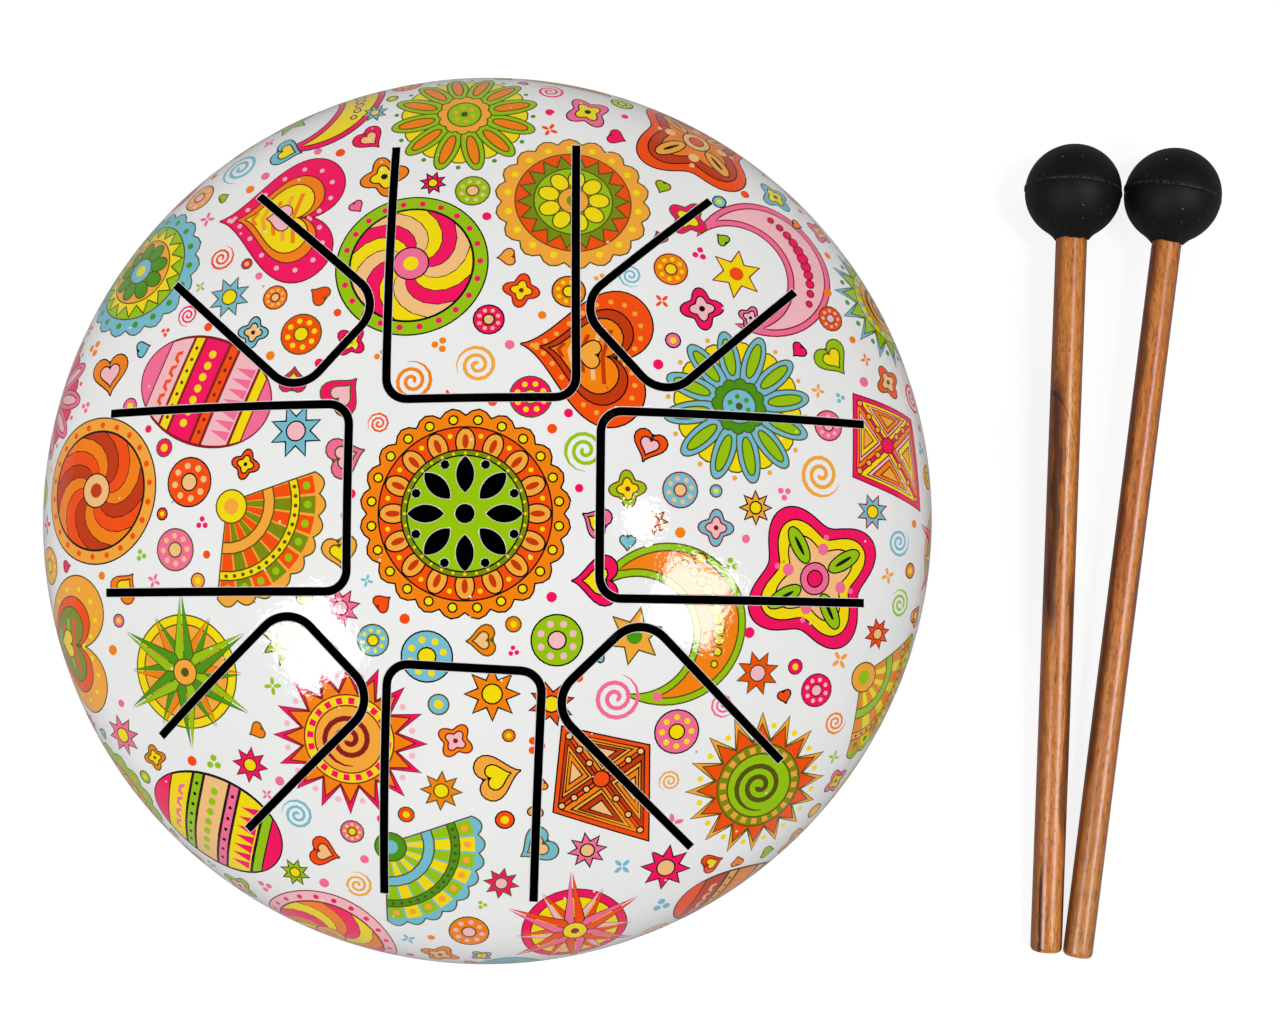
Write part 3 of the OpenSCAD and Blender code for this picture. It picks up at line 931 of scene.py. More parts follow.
# Motifs for small and for wider gaps, and their inks, each taken in turn
LITTLE = (draw_bead, draw_trio, draw_little_heart, draw_clover)
WIDER = (draw_star, draw_double_heart, draw_blossom, draw_coil, draw_button)
BRIGHT = ("orange", "magenta", "lime", "sky", "flame", "pink", "amber")
PALE = ("yellow", "blush", "yellow", "peach")
DOTS = ("flame", "magenta", "orange", "pink")
EDGES = ("line", "bark", "wine")
DOT_R, LITTLE_R = 1.7 * MM, 3.4 * MM


def draw_small(pen, size, count):
    """Small motif for a gap, chosen by its size and its turn in the row."""
    pen.edge = EDGES[count % len(EDGES)]
    if size < DOT_R:
        pen.lay(DOTS[count % len(DOTS)], pen.round(0.9))
        return
    kinds = LITTLE if size < LITTLE_R else WIDER
    kinds[count % len(kinds)](pen, BRIGHT[count % len(BRIGHT)], PALE[count % len(PALE)])


def draw_pattern(reach, keep_from, middle=None, late=0):
    """Ink shapes of a sheet: motifs on a spiral of golden turns, and small ones in the gaps between them."""
    sheet = drum_settings("print")
    pen = Pen(sheet.line_w)
    count = math.ceil(((reach + sheet.motif_r) / sheet.motif_step) ** 2)
    spots = np.array([
        sheet.motif_step * math.sqrt(place + 0.5) * direction(place * GOLDEN_TURN)
        for place in range(count)
    ])
    taken = []
    if middle is not None:
        taken.append((*middle, sheet.centre_r))
    for place, spot in enumerate(spots):
        room = np.delete(np.hypot(*(spots - spot).T), place).min() / 2
        size = min(room, sheet.motif_r) - sheet.motif_gap / 2
        if math.hypot(*spot) < keep_from:
            continue
        if middle is not None and math.dist(spot, middle) < sheet.centre_r + size * 0.8:
            continue
        draw, circles = MOTIFS[(place * 4 + late) % len(MOTIFS)]
        palette = PALETTES[(place * 3 + late) % len(PALETTES)]
        pen.move(spot, (place * 5 + late) * GOLDEN_TURN, size)
        pen.edge = palette[0]
        draw(pen, palette[1:])
        for x, y, radius in circles:
            taken.append((*(spot + np.array((x, y)) @ pen.turn * size), radius * size))
    if middle is not None:
        draw_middle(pen, middle, sheet.centre_r)
    fill_gaps(pen, np.array(taken), keep_from, reach, sheet.motif_gap, late)
    return pen.shapes


def draw_middle(pen, middle, radius):
    """Large medallion round the rosette's cuts."""
    pen.move(middle, QUARTER, radius)
    pen.edge = "line"
    pen.outlined("orange", pen.wavy(1, 24, 0.07))
    pen.ring(24, 0.5, (pen.outlined, "yellow", pen.round(0.036, 0.9)))
    pen.outlined("flame", pen.round(0.82))
    oval, slit = pen.leaf(0.56, 0.81, 0.17), pen.leaf(0.62, 0.76, 0.06)
    pen.ring(16, 0, (pen.outlined, "amber", oval), (pen.lay, "rust", slit))
    pen.ring(16, 0.5, (pen.lay, "yellow", pen.round(0.024, 0.75)))
    pen.outlined("olive", pen.round(0.6))
    pen.ring(32, 0, (pen.lay, "yellow", pen.round(0.015, 0.575)))
    pen.outlined("lime", pen.round(0.545))


def fill_gaps(pen, taken, low, reach, gap, late):
    """Sets small motifs into the widest gaps first, as long as there is room."""
    step, largest, smaller, smallest, most = 1.4 * MM, 7.2 * MM, 1.1 * MM, 1.25 * MM, 600
    line = np.arange(-reach, reach, step)
    grid = np.array(np.meshgrid(line, line)).reshape(2, -1).T
    away = np.hypot(*grid.T)
    grid = grid[(away < reach) & (away > low)]
    room = np.full(len(grid), reach)
    for x, y, radius in taken:
        room = np.minimum(room, np.hypot(grid[:, 0] - x, grid[:, 1] - y) - radius)
    for count in range(late, late + most):
        best = int(np.argmax(room))
        size = min(room[best] - gap * 1.3, largest - smaller * (count % 3))
        if size < smallest:
            break
        pen.move(grid[best], count * GOLDEN_TURN, size)
        draw_small(pen, size, count)
        room = np.minimum(room, np.hypot(*(grid - grid[best]).T) - size - gap)


# Sheet pieces


def ink_colours(names):
    """Colours of the inks, one row each."""
    sheet = drum_settings("print")
    return np.array([getattr(sheet, name)[:] for name in names])


class Sheet:
    """Developed sheet, split along the edges of its inks, cuts and tongues."""

    seam_band = 0.03 * MM
    # Where the paint's rounded edge is split along a cut, and how near the wall lies, in shares of its radius
    rim_shares = (1, 0.5, 0.13)
    wall_share = 0.05

    def __init__(self, section, shapes, cuts, tongues):
        shells = drum_settings("shells")
        self.section, self.cuts = section, cuts
        disc = arc((0, 0), section.length, 0, TURN, shells.mesh_step * 0.8)
        shapes = [("ground", disc), *(shape for shape in shapes if self.reaches(shape[1], section.length))]
        for cut in cuts:
            shapes.append(("ground", counter_clockwise(section.flatten(cut.band(shells.edge_r * 0.5)))))
        names = sorted({ink for ink, _ in shapes})
        inks = [names.index(ink) for ink, _ in shapes]
        outlines = [points for _, points in shapes]
        for cut in cuts:
            for share in self.rim_shares:
                outlines.append(section.flatten(cut.band(shells.edge_r * share)))
        first_cut = len(outlines)
        outlines += [section.flatten(cut.band(0)) for cut in cuts]
        first_tongue = len(outlines)
        outlines += [section.flatten(tongue.body()) for tongue in tongues]
        outlines = [counter_clockwise(outline) for outline in outlines]
        grid = hexagonal_grid(section.length, shells.mesh_step)
        self.flat, triangles, inside, owners = split_plane(outlines, grid)

        def last_round(first, last):
            """Last of these outlines round each triangle, counted from the first of them."""
            found = np.full(len(triangles), -1)
            chosen = (owners >= first) & (owners < last)
            np.maximum.at(found, inside[chosen], owners[chosen] - first)
            return found

        cut_out = last_round(first_cut, first_tongue) >= 0
        kept = ~cut_out & np.isin(np.arange(len(triangles)), inside[owners == 0])
        self.triangles = triangles[kept]
        self.body_of = last_round(first_tongue, len(outlines))[kept]
        self.colours = ink_colours(names)[np.array(inks)[last_round(0, len(inks))[kept]]]
        self.at_seam = np.hypot(*self.flat.T) >= section.length - self.seam_band
        self.places, self.normals, self.walls = self.rounded_edges(shells.edge_r)

    @staticmethod
    def reaches(points, length):
        """True if an outline comes onto the sheet."""
        return np.hypot(*points.T).min() < length

    def clearance(self, plan):
        """Distance of points from the nearest cut."""
        return np.min([cut.clearance(plan) for cut in self.cuts], axis=0)

    def rounded_edges(self, edge_r):
        """Places and normals of the outside, rounded off along the cuts, and the walls' normals there."""
        places, normals = self.section.lift(self.flat, 0)
        plan, nudge = places[:, :2], 0.002 * MM
        near = self.clearance(plan)
        slope = np.column_stack([
            (self.clearance(plan + step) - self.clearance(plan - step)) / (2 * nudge)
            for step in np.eye(2) * nudge
        ])
        slope /= np.maximum(np.hypot(*slope.T), TINY)[:, None]
        tilt = np.clip((edge_r - near) / edge_r, 0, 1)[:, None]
        upright = np.sqrt(1 - tilt**2)
        away = np.column_stack([-slope, np.zeros(len(slope))])
        places[:, 2] -= self.section.side * edge_r * (1 - upright[:, 0])
        normals = normals * upright + away * tilt
        normals /= np.linalg.norm(normals, axis=1)[:, None]
        at_cut = near < edge_r * self.wall_share
        return places, normals, np.where(at_cut[:, None], away, 0)

    def inner_side(self, used, edges):
        """Plain inside under a piece's outside, and the number of the inside's point below each rim point."""
        shells = drum_settings("shells")
        section, side = self.section, self.section.side
        flat = self.flat[used].copy()
        rim = np.unique(edges)
        upright = rim[~self.at_seam[used[rim]]]
        flat[upright] = section.flatten(self.places[used[upright], :2], shells.sheet)
        loops = sorted(edge_loops(edges), key=lambda loop: -abs(loop_area(flat[loop])))
        grid = hexagonal_grid(section.length, shells.inner_step)
        points, triangles, inner_of = fill_inside(flat, loops, grid)
        places, normals = section.lift(points, shells.sheet)
        seam_z = (side * self.places[self.at_seam, 2]).min()
        places[:, 2] = side * np.maximum(side * places[:, 2], seam_z)
        below = np.zeros(len(used), int)
        below[list(inner_of)] = list(inner_of.values())
        return places, -normals, triangles[:, ::-side], below

    def piece(self, name, body, which, replaced, bend=None):
        """Closed piece of sheet: the printed outside, and dark walls along its cuts and a dark inside."""
        chosen = self.body_of == which
        used, faces = np.unique(self.triangles[chosen], return_inverse=True)
        outside = faces.reshape(-1, 3)[:, :: self.section.side]
        edges = rim_edges(outside)
        inner_places, inner_normals, inside, below = self.inner_side(used, edges)
        start, end = edges.T
        walls = np.column_stack([end, start, below[start] + len(used), below[end] + len(used)])
        places = np.vstack([self.places[used], inner_places])
        faces = outside.tolist() + walls.tolist() + (inside + len(used)).tolist()
        mesh = smooth_mesh(name, (places + np.array([*drum_axis, 0])).tolist(), faces)
        slot_of = np.ones(len(faces), np.int32)
        slot_of[: len(outside)] = 0
        mesh.polygons.foreach_set("material_index", slot_of)
        colours = np.ones((len(mesh.loops), 4), np.float32)
        colours[: outside.size] = np.repeat(self.colours[chosen], 3, 0)
        inks = mesh.color_attributes.new(name="ink", type="FLOAT_COLOR", domain="CORNER")
        inks.data.foreach_set("color", colours.ravel())
        mesh.normals_split_custom_set(np.vstack([
            self.normals[used][outside].reshape(-1, 3),
            wall_normals(places[walls], self.walls[used][np.column_stack([end, start, start, end])]),
            inner_normals[inside].reshape(-1, 3),
        ]).tolist())
        finishes = [shared("Printed enamel", enamel_material), shared("Dark primer", dark_inside_material)]
        add_piece(mesh, body, replaced, finishes, bend=bend)


def wall_normals(corners, given):
    """Normals at the corners of wall faces: those given along a cut, and the face's own elsewhere."""
    own = np.cross(corners[:, 1] - corners[:, 0], corners[:, 3] - corners[:, 0])
    own /= np.maximum(np.linalg.norm(own, axis=1), TINY)[:, None]
    bare = np.linalg.norm(given, axis=2) < 0.5
    return np.where(bare[..., None], own[:, None], given).reshape(-1, 3)


def triangulated(points, outlines):
    """Joins points into triangles that keep to outlines, each given by the numbers of its points.

    Returns the points and triangles, what was given at each point and the outlines round each triangle.
    """
    nearest = 0.0001 * MM
    points = [Vector(point) for point in points.tolist()]
    made, _, triangles, sources, _, owners = delaunay_2d_cdt(points, [], outlines, 1, nearest, True)
    return np.array([point[:] for point in made]), np.array(triangles), sources, owners


def split_plane(outlines, spare):
    """Points and triangles of the plane, split along outlines, and pairs of triangle and outline."""
    ends = np.cumsum([len(outline) for outline in outlines])
    faces = [list(range(end - len(outline), end)) for outline, end in zip(outlines, ends)]
    flat, triangles, _, owners = triangulated(np.vstack([*outlines, spare]), faces)
    inside = np.repeat(np.arange(len(triangles)), [len(owned) for owned in owners])
    owners = np.array([owner for owned in owners for owner in owned])
    middles = flat[triangles].mean(1)[inside]
    low = np.array([outline.min(0) for outline in outlines])[owners]
    high = np.array([outline.max(0) for outline in outlines])[owners]
    real = ((middles > low) & (middles < high)).all(1)
    return flat, triangles, inside[real], owners[real]


def hexagonal_grid(reach, step):
    """Evenly spaced points on a disc."""
    line = np.arange(-reach, reach, step)
    rows = []
    for row, y in enumerate(np.arange(-reach, reach, step * math.sqrt(3) / 2)):
        rows.append(np.column_stack([line + step / 2 * (row % 2), np.full_like(line, y)]))
    grid = np.vstack(rows)
    return grid[np.hypot(*grid.T) < reach - step / 2]


def rim_edges(triangles):
    """Directed edges that only one triangle has."""
    edges = np.vstack([triangles[:, (0, 1)], triangles[:, (1, 2)], triangles[:, (2, 0)]])
    _, place, count = np.unique(np.sort(edges, 1), axis=0, return_index=True, return_counts=True)
    return edges[place[count == 1]]


def edge_loops(edges):
    """Closed loops of directed edges."""
    following = dict(edges.tolist())
    loops = []
    while following:
        start, point = following.popitem()
        loop = [start]
        while point != start:
            loop.append(point)
            point = following.pop(point)
        loops.append(loop)
    return loops


def fill_inside(flat, loops, spare):
    """Triangles inside the first loop and outside the others, and the new place of each loop's points."""
    index = [point for loop in loops for point in loop]
    place_of = {point: place for place, point in enumerate(index)}
    faces = []
    for loop in loops:
        face = [place_of[point] for point in loop]
        faces.append(face if loop_area(flat[loop]) > 0 else face[::-1])
    made, triangles, sources, owners = triangulated(np.vstack([flat[index], spare]), faces)
    kept = triangles[[owned == [0] for owned in owners]]
    used, faces = np.unique(kept, return_inverse=True)
    new_place = {old: place for place, old in enumerate(used.tolist())}
    inner_of = {}
    for old, source in enumerate(sources):
        for given in source:
            if given < len(index):
                inner_of[index[given]] = new_place[old]
    return made[used], faces.reshape(-1, 3), inner_of


def smooth_mesh(name, vertices, faces):
    """Mesh whose faces are all smooth."""
    mesh = bpy.data.meshes.new(name)
    mesh.from_pydata(vertices, [], faces)
    mesh.polygons.foreach_set("use_smooth", np.ones(len(faces), bool))
    return mesh


def linked(name, data):
    """New object, linked to the scene."""
    made = bpy.data.objects.new(name, data)
    bpy.context.scene.collection.objects.link(made)
    return made


def add_piece(mesh, body, replaced, materials, place=None, bend=None):
    """Links a mesh that stands for CAD nodes and rides on its body, or, when a bend is given, keeps its place
    baked into its mesh.
    """
    piece = linked(mesh.name, mesh)
    if place:
        piece.matrix_world = place
    for material in materials:
        mesh.materials.append(material)
    if bend:
        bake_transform(piece)
    else:
        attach(piece, body)
    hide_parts(*replaced)


# Node trees


class Nodes:
    """Short way to build a node tree."""

    def __init__(self, tree):
        self.tree = tree
        tree.nodes.clear()

    def add(self, kind, inputs=None, **values):
        """Adds a node with its settings, then fills or links its inputs."""
        made = self.tree.nodes.new("ShaderNode" + kind)
        for key, value in values.items():
            setattr(made, key, value)
        for key, value in (inputs or {}).items():
            if isinstance(value, bpy.types.NodeSocket):
                self.tree.links.new(value, made.inputs[key])
            else:
                made.inputs[key].default_value = value
        return made

    def mix(self, factor, first, second):
        """Mixed colour."""
        return self.add("Mix", {0: factor, 6: first, 7: second}, data_type="RGBA").outputs[2]

    def stain(self, colour, mask, strength, ink):
        """Colour with an ink over it, as strong as a mask times a strength."""
        return self.mix(self.times(mask, strength), colour, ink)

    def sum(self, operation, *values):
        """Result of a calculation on numbers."""
        return self.add("Math", dict(enumerate(values)), operation=operation).outputs[0]

    def times(self, first, second):
        """Product of two numbers."""
        return self.sum("MULTIPLY", first, second)

    def remap(self, value, low, high, to_low=0.0, to_high=1.0):
        """Value carried from one range to another, and kept inside it."""
        return self.add("MapRange", {0: value, 1: low, 2: high, 3: to_low, 4: to_high}).outputs[0]

    def noise(self, vector, scale, detail=2.0, roughness=0.5):
        """Noise value."""
        values = {"Vector": vector, "Scale": scale, "Detail": detail, "Roughness": roughness}
        return self.add("TexNoise", values).outputs[0]

    def vector(self, operation, first, second):
        """Result of a calculation on vectors."""
        return self.add("VectorMath", {0: first, 1: second}, operation=operation).outputs

    def stretched(self, vector, length, place=(0, 0, 0)):
        """Coordinates shortened along z and then moved, so that what they carry is drawn out that way."""
        return self.add("Mapping", {"Vector": vector, "Location": place, "Scale": (1, 1, length)}).outputs[0]

    def axes(self, vector):
        """The three parts of a vector."""
        return self.add("SeparateXYZ", {0: vector}).outputs


def effect(name, inputs, outputs):
    """Turns the function under it into one that places a node group, which the function builds at first use.

    The group's inputs are given with their default, or with their kind where there is none, and are filled
    by name. An effect with one output gives that output alone.
    """

    def group_of(build):
        group = bpy.data.node_groups.new(name, "ShaderNodeTree")
        for way, sockets in (("INPUT", {"Vector": "Vector", **inputs}), ("OUTPUT", outputs)):
            for label, value in sockets.items():
                kind = value if isinstance(value, str) else "Float"
                socket = group.interface.new_socket(name=label, in_out=way, socket_type="NodeSocket" + kind)
                if value is not kind:
                    socket.default_value = value
        nodes = Nodes(group)
        given = group.nodes.new("NodeGroupInput")
        result = group.nodes.new("NodeGroupOutput")
        for label, socket in zip(outputs, build(nodes, given.outputs)):
            group.links.new(socket, result.inputs[label])
        return group

    def placed_by(build):
        def place(nodes, where, **values):
            group = bpy.data.node_groups.get(name) or group_of(build)
            values = {label.replace("_", " ").capitalize(): value for label, value in values.items()}
            found = nodes.add("Group", {"Vector": where, **values}, node_tree=group).outputs
            return found if len(outputs) > 1 else found[0]

        return place

    return placed_by


@effect("Specks", {"Scale": 500.0, "Size": 0.2, "Amount": 0.1}, {"Mask": "Float"})
def specks(nodes, given):
    """Scattered round specks, as a mask."""
    cells = nodes.add("TexVoronoi", {"Vector": given["Vector"], "Scale": given["Scale"]})
    dot = nodes.sum("LESS_THAN", cells.outputs["Distance"], given["Size"])
    chosen = nodes.add("SeparateColor", {0: cells.outputs["Color"]})
    rare = nodes.sum("LESS_THAN", chosen.outputs[0], given["Amount"])
    return [nodes.times(dot, rare)]


@effect(
    "Peel",
    {"Coarse scale": 300.0, "Coarse height": 1.0, "Fine scale": 1800.0, "Fine height": 0.2},
    {"Height": "Float"},
)
def peel(nodes, given):
    """Waviness of sprayed paint or moulded rubber, coarse and fine, as a height."""
    coarse = nodes.noise(given["Vector"], given["Coarse scale"], 1.0)
    fine = nodes.noise(given["Vector"], given["Fine scale"], 2.0)
    coarse = nodes.times(coarse, given["Coarse height"])
    return [nodes.sum("ADD", coarse, nodes.times(fine, given["Fine height"]))]


@effect("Cloud", {"Scale": 40.0, "Amount": 0.5}, {"Mask": "Float"})
def clouds(nodes, given):
    """Slow change of tone over a surface, as a mask round one half."""
    broad = nodes.noise(given["Vector"], given["Scale"], 3.0)
    low = nodes.sum("SUBTRACT", 0.5, given["Amount"])
    high = nodes.sum("ADD", 0.5, given["Amount"])
    return [nodes.remap(broad, 0.3, 0.7, low, high)]


@effect(
    "Wood grain",
    {"Place": "Vector", "Heart place": "Vector", "Layer scale": 130.0},
    {"Layers": "Float", "Fibres": "Float", "Pores": "Float", "Flecks": "Float", "Mottle": "Float"},
)
def wood_grain(nodes, given):
    """Wood grain along the z axis: layers, fine fibres, short pores and flecks, and a loose mottle."""
    slender = 0.06
    slim = nodes.stretched(given["Vector"], slender, given["Place"])
    bend = nodes.noise(slim, 240.0, 2.0)
    bend = nodes.add("CombineXYZ", {0: bend, 1: bend}).outputs[0]
    warp = nodes.add("VectorMath", {0: bend, "Scale": 0.002}, operation="SCALE").outputs[0]
    off = nodes.vector("SUBTRACT", given["Vector"], given["Heart place"])[0]
    bent = nodes.vector("ADD", nodes.stretched(off, slender), warp)[0]
    rings = {"Vector": bent, "Scale": given["Layer scale"]}
    rings.update({"Distortion": 2.2, "Detail": 3.0, "Detail Scale": 1.6})
    layers = nodes.add("TexWave", rings, wave_type="RINGS", rings_direction="Z").outputs[1]
    fibres = nodes.noise(slim, 2600.0, 3.0, 0.7)
    short = nodes.stretched(given["Vector"], 0.22, given["Place"])
    pores = nodes.remap(nodes.noise(short, 2000.0, 1.0), 0.6, 0.7)
    flecks = nodes.remap(nodes.noise(short, 5200.0, 1.0), 0.55, 0.7)
    mottle = nodes.remap(nodes.noise(short, 1000.0, 3.0, 0.65), 0.44, 0.66)
    return [layers, fibres, pores, flecks, mottle]


@effect("Dark streak", {"Middle": 0.0, "Width": 0.001, "Start": 0.0, "End": -0.1}, {"Mask": "Float"})
def dark_streak(nodes, given):
    """Dark streak along the z axis, from one height down to another, as a mask."""
    sway, fray, fade = 0.9 * MM, 0.5 * MM, 9 * MM
    x, _, z = nodes.axes(given["Vector"])
    along = nodes.add("CombineXYZ", {2: z}).outputs[0]
    wander = nodes.remap(nodes.noise(along, 45.0, 3.0), 0.3, 0.7, -sway, sway)
    slim = nodes.stretched(given["Vector"], 0.04)
    frayed = nodes.remap(nodes.noise(slim, 1500.0, 3.0), 0.3, 0.7, -fray, fray)
    off = nodes.sum("SUBTRACT", nodes.sum("ADD", x, wander), given["Middle"])
    off = nodes.sum("ADD", nodes.sum("ABSOLUTE", off), frayed)
    across = nodes.remap(nodes.sum("DIVIDE", off, given["Width"]), 0.5, 1.1, 1.0, 0.0)
    start = nodes.remap(nodes.sum("SUBTRACT", given["Start"], z), 0.0, fade)
    end = nodes.remap(nodes.sum("SUBTRACT", z, given["End"]), 0.0, fade)
    return [nodes.times(across, nodes.times(start, end))]


@effect("Halftone", {"Color": "Color", "Line scale": 900.0, "Depth": 0.1}, {"Color": "Color"})
def halftone(nodes, given):
    """Fine slanted screen lines and loose grain of a printed ink."""
    lines = {"Vector": given["Vector"], "Scale": given["Line scale"], "Distortion": 1.5, "Detail": 1.0}
    screen = nodes.add("TexWave", lines, bands_direction="DIAGONAL").outputs[1]
    grain = nodes.noise(given["Vector"], 2600.0, 2.0, 0.7)
    both = nodes.sum("ADD", nodes.times(screen, 0.5), nodes.times(grain, 0.5))
    shade = nodes.remap(both, 0.2, 0.8, given["Depth"], 0.0)
    value = nodes.sum("SUBTRACT", 1.0, shade)
    return [nodes.add("HueSaturation", {"Color": given["Color"], "Value": value}).outputs[0]]


def shared(name, make):
    """Material of this name, made the first time it is asked for."""
    return bpy.data.materials.get(name) or make(name)


def start_material(name):
    """Empty material, its node tree and the object's own coordinates."""
    material = bpy.data.materials.new(name)
    material.use_nodes = True
    nodes = Nodes(material.node_tree)
    return material, nodes, nodes.add("TexCoord").outputs["Object"]


def end_material(material, nodes, surface, height=None, depth=1.0):
    """Principled surface with a bump, linked to the output."""
    shader = nodes.add("BsdfPrincipled", surface)
    if height is not None:
        bump = nodes.add("Bump", {"Height": height, "Distance": depth, "Strength": 1.0})
        nodes.tree.links.new(bump.outputs[0], shader.inputs["Normal"])
    nodes.add("OutputMaterial", {"Surface": shader.outputs[0]})
    return material


def enamel_material(name):
    """White gloss enamel that carries the print's inks."""
    material, nodes, where = start_material(name)
    ink = nodes.add("Attribute", attribute_name="ink").outputs["Color"]
    tone = nodes.remap(clouds(nodes, where, scale=26.0), 0.0, 1.0, 0.965, 1.0)
    screened = halftone(nodes, where, color=ink, depth=0.13)
    strong = nodes.add("SeparateColor", {0: ink}, mode="HSV").outputs[1]
    colour = nodes.mix(nodes.remap(strong, 0.05, 0.3), ink, screened)
    colour = nodes.add("HueSaturation", {"Color": colour, "Value": tone}).outputs[0]
    misses = specks(nodes, where, scale=260.0, size=0.1, amount=0.16)
    colour = nodes.stain(colour, misses, 0.75, linear("#F6F2EE"))
    dust = specks(nodes, where, scale=130.0, size=0.045, amount=0.2)
    colour = nodes.stain(colour, dust, 0.6, linear("#4A4238"))
    gloss = nodes.remap(clouds(nodes, where, scale=90.0), 0.0, 1.0, 0.04, 0.07)
    lumps = peel(nodes, where, coarse_scale=210.0, fine_scale=560.0, fine_height=1.9)
    lumps = nodes.sum("ADD", lumps, nodes.times(dust, 0.6))
    surface = {
        "Base Color": colour, "Roughness": gloss, "IOR": 1.6, "Coat Weight": 0.35, "Coat Roughness": 0.03,
    }
    return end_material(material, nodes, surface, lumps, 0.028 * MM)


def plain_enamel_material(name):
    """White gloss enamel over a weld bead."""
    material, nodes, where = start_material(name)
    cloud = clouds(nodes, where, scale=60.0)
    ground = drum_settings("print").ground[:]
    colour = nodes.mix(nodes.remap(cloud, 0, 1, 0, 0.16), ground, linear("#C9C4BC"))
    lumps = peel(nodes, where, coarse_scale=420.0, fine_scale=1700.0, fine_height=0.15)
    gloss = nodes.remap(cloud, 0, 1, 0.14, 0.24)
    surface = {"Base Color": colour, "Roughness": gloss, "Coat Weight": 0.3, "Coat Roughness": 0.08}
    return end_material(material, nodes, surface, lumps, 0.12 * MM)


def dark_inside_material(name):
    """Primer inside the drum and in the walls of its cuts, darkened to near black as painted shade of the closed
    drum's inside.
    """
    material, nodes, where = start_material(name)
    cloud = clouds(nodes, where, scale=70.0)
    # Painted shade: near-black tones, darker than primer, stand in for the dark inside of the closed drum.
    colour = nodes.mix(cloud, linear("#040404"), linear("#0B0A0A"))
    grit = specks(nodes, where, scale=400.0, size=0.16)
    colour = nodes.stain(colour, grit, 0.3, linear("#24221F"))
    lumps = peel(nodes, where, fine_height=0.5)
    gloss = nodes.remap(cloud, 0, 1, 0.6, 0.78)
    surface = {"Base Color": colour, "Roughness": gloss, "Specular IOR Level": 0.2}
    return end_material(material, nodes, surface, lumps, 0.05 * MM)


def rubber_material(name, tone, dusty, ridge=None):
    """Matt black rubber with mould grain and dust, a pale line along a ridge that is painted highlight and worn
    rubber, and a painted shadow under it.
    """
    material, nodes, where = start_material(name)
    cloud = clouds(nodes, where, scale=110.0)
    colour = nodes.mix(nodes.remap(cloud, 0, 1, 0, 0.5), tone, linear("#0B0D12"))
    if ridge is not None:
        above = nodes.vector("DOT_PRODUCT", where, ridge)["Value"]
        broken = nodes.remap(nodes.noise(where, 900.0, 3.0), 0.47, 0.6)
        shadow = nodes.sum("ABSOLUTE", nodes.sum("ADD", above, 0.42 * MM))
        shadow = nodes.remap(shadow, 0.3 * MM, 0.12 * MM)
        # Pale broken line along the ridge's crest: painted highlight, and worn rubber.
        crest_highlight_and_wear = nodes.sum("ABSOLUTE", nodes.sum("SUBTRACT", above, 0.1 * MM))
        crest_highlight_and_wear = nodes.remap(crest_highlight_and_wear, 0.8 * MM, 0.1 * MM, 0.0, 0.7)
        colour = nodes.stain(colour, crest_highlight_and_wear, broken, linear("#3E3F40"))
        colour = nodes.stain(colour, shadow, 0.9, linear("#020203"))
    for scale, size, amount, dirt in ((900.0, 0.17, 0.07, "#7B766C"), (330.0, 0.08, 0.2, "#9A9284")):
        dust = specks(nodes, where, scale=scale, size=size, amount=amount * dusty)
        colour = nodes.stain(colour, dust, 0.6, linear(dirt))
    lumps = peel(nodes, where, coarse_scale=700.0, coarse_height=0.6, fine_scale=3600.0, fine_height=0.5)
    gloss = nodes.remap(cloud, 0, 1, 0.56, 0.62)
    surface = {"Base Color": colour, "Roughness": gloss, "IOR": 1.42}
    return end_material(material, nodes, surface, lumps, 0.03 * MM)


def steel_material(name, bright, dull):
    """Plated steel of the screws, washers and nuts."""
    material, nodes, where = start_material(name)
    cloud = clouds(nodes, where, scale=420.0)
    colour = nodes.mix(cloud, linear(bright), linear(dull))
    lumps = peel(nodes, where, coarse_scale=1500.0, fine_scale=6000.0)
    gloss = nodes.remap(cloud, 0, 1, 0.24, 0.42)
    surface = {"Base Color": colour, "Metallic": 1.0, "Roughness": gloss}
    return end_material(material, nodes, surface, lumps, 0.01 * MM)


# Dark streaks of each handle: place across it, half width, start and end in millimetres, and strength
STREAKS = (
    (
        (-2.9, 1.7, -56, -142, 0.85), (3.3, 1.3, -118, -208, 0.7),
        (-3.1, 0.6, -208, -246, 1.0), (4.3, 1.0, -212, -246, 0.9),
    ),
    ((-4.1, 1.2, -12, -190, 0.6), (4.3, 0.9, -60, -150, 0.55)),
)
# Where each handle's grain is taken from, how tanned its end is and how dark its layers are
GRAINS = (((0.031, 0.012, 0.4), 0.0, 0.12), ((0.113, 0.052, 0.9), 0.55, 0.4))


def growth_line(nodes, where, radius):
    """Thin dark line where a layer of the wood runs out, slanting across a handle, as a mask."""
    middle_z, slant, bow = -71.5 * MM, -12.8 * MM, -5.2 * MM
    x, y, z = nodes.axes(where)
    across = nodes.sum("DIVIDE", x, radius)
    fall = nodes.sum("MULTIPLY_ADD", nodes.sum("MULTIPLY_ADD", across, bow, slant), across, middle_z)
    off = nodes.sum("ABSOLUTE", nodes.sum("SUBTRACT", z, fall))
    half = nodes.remap(across, -0.9, -0.3, 1.2 * MM, 0.4 * MM)
    line = nodes.remap(nodes.sum("DIVIDE", off, half), 0.5, 1.0, 1.0, 0.0)
    return nodes.times(line, nodes.sum("LESS_THAN", y, 0.0))


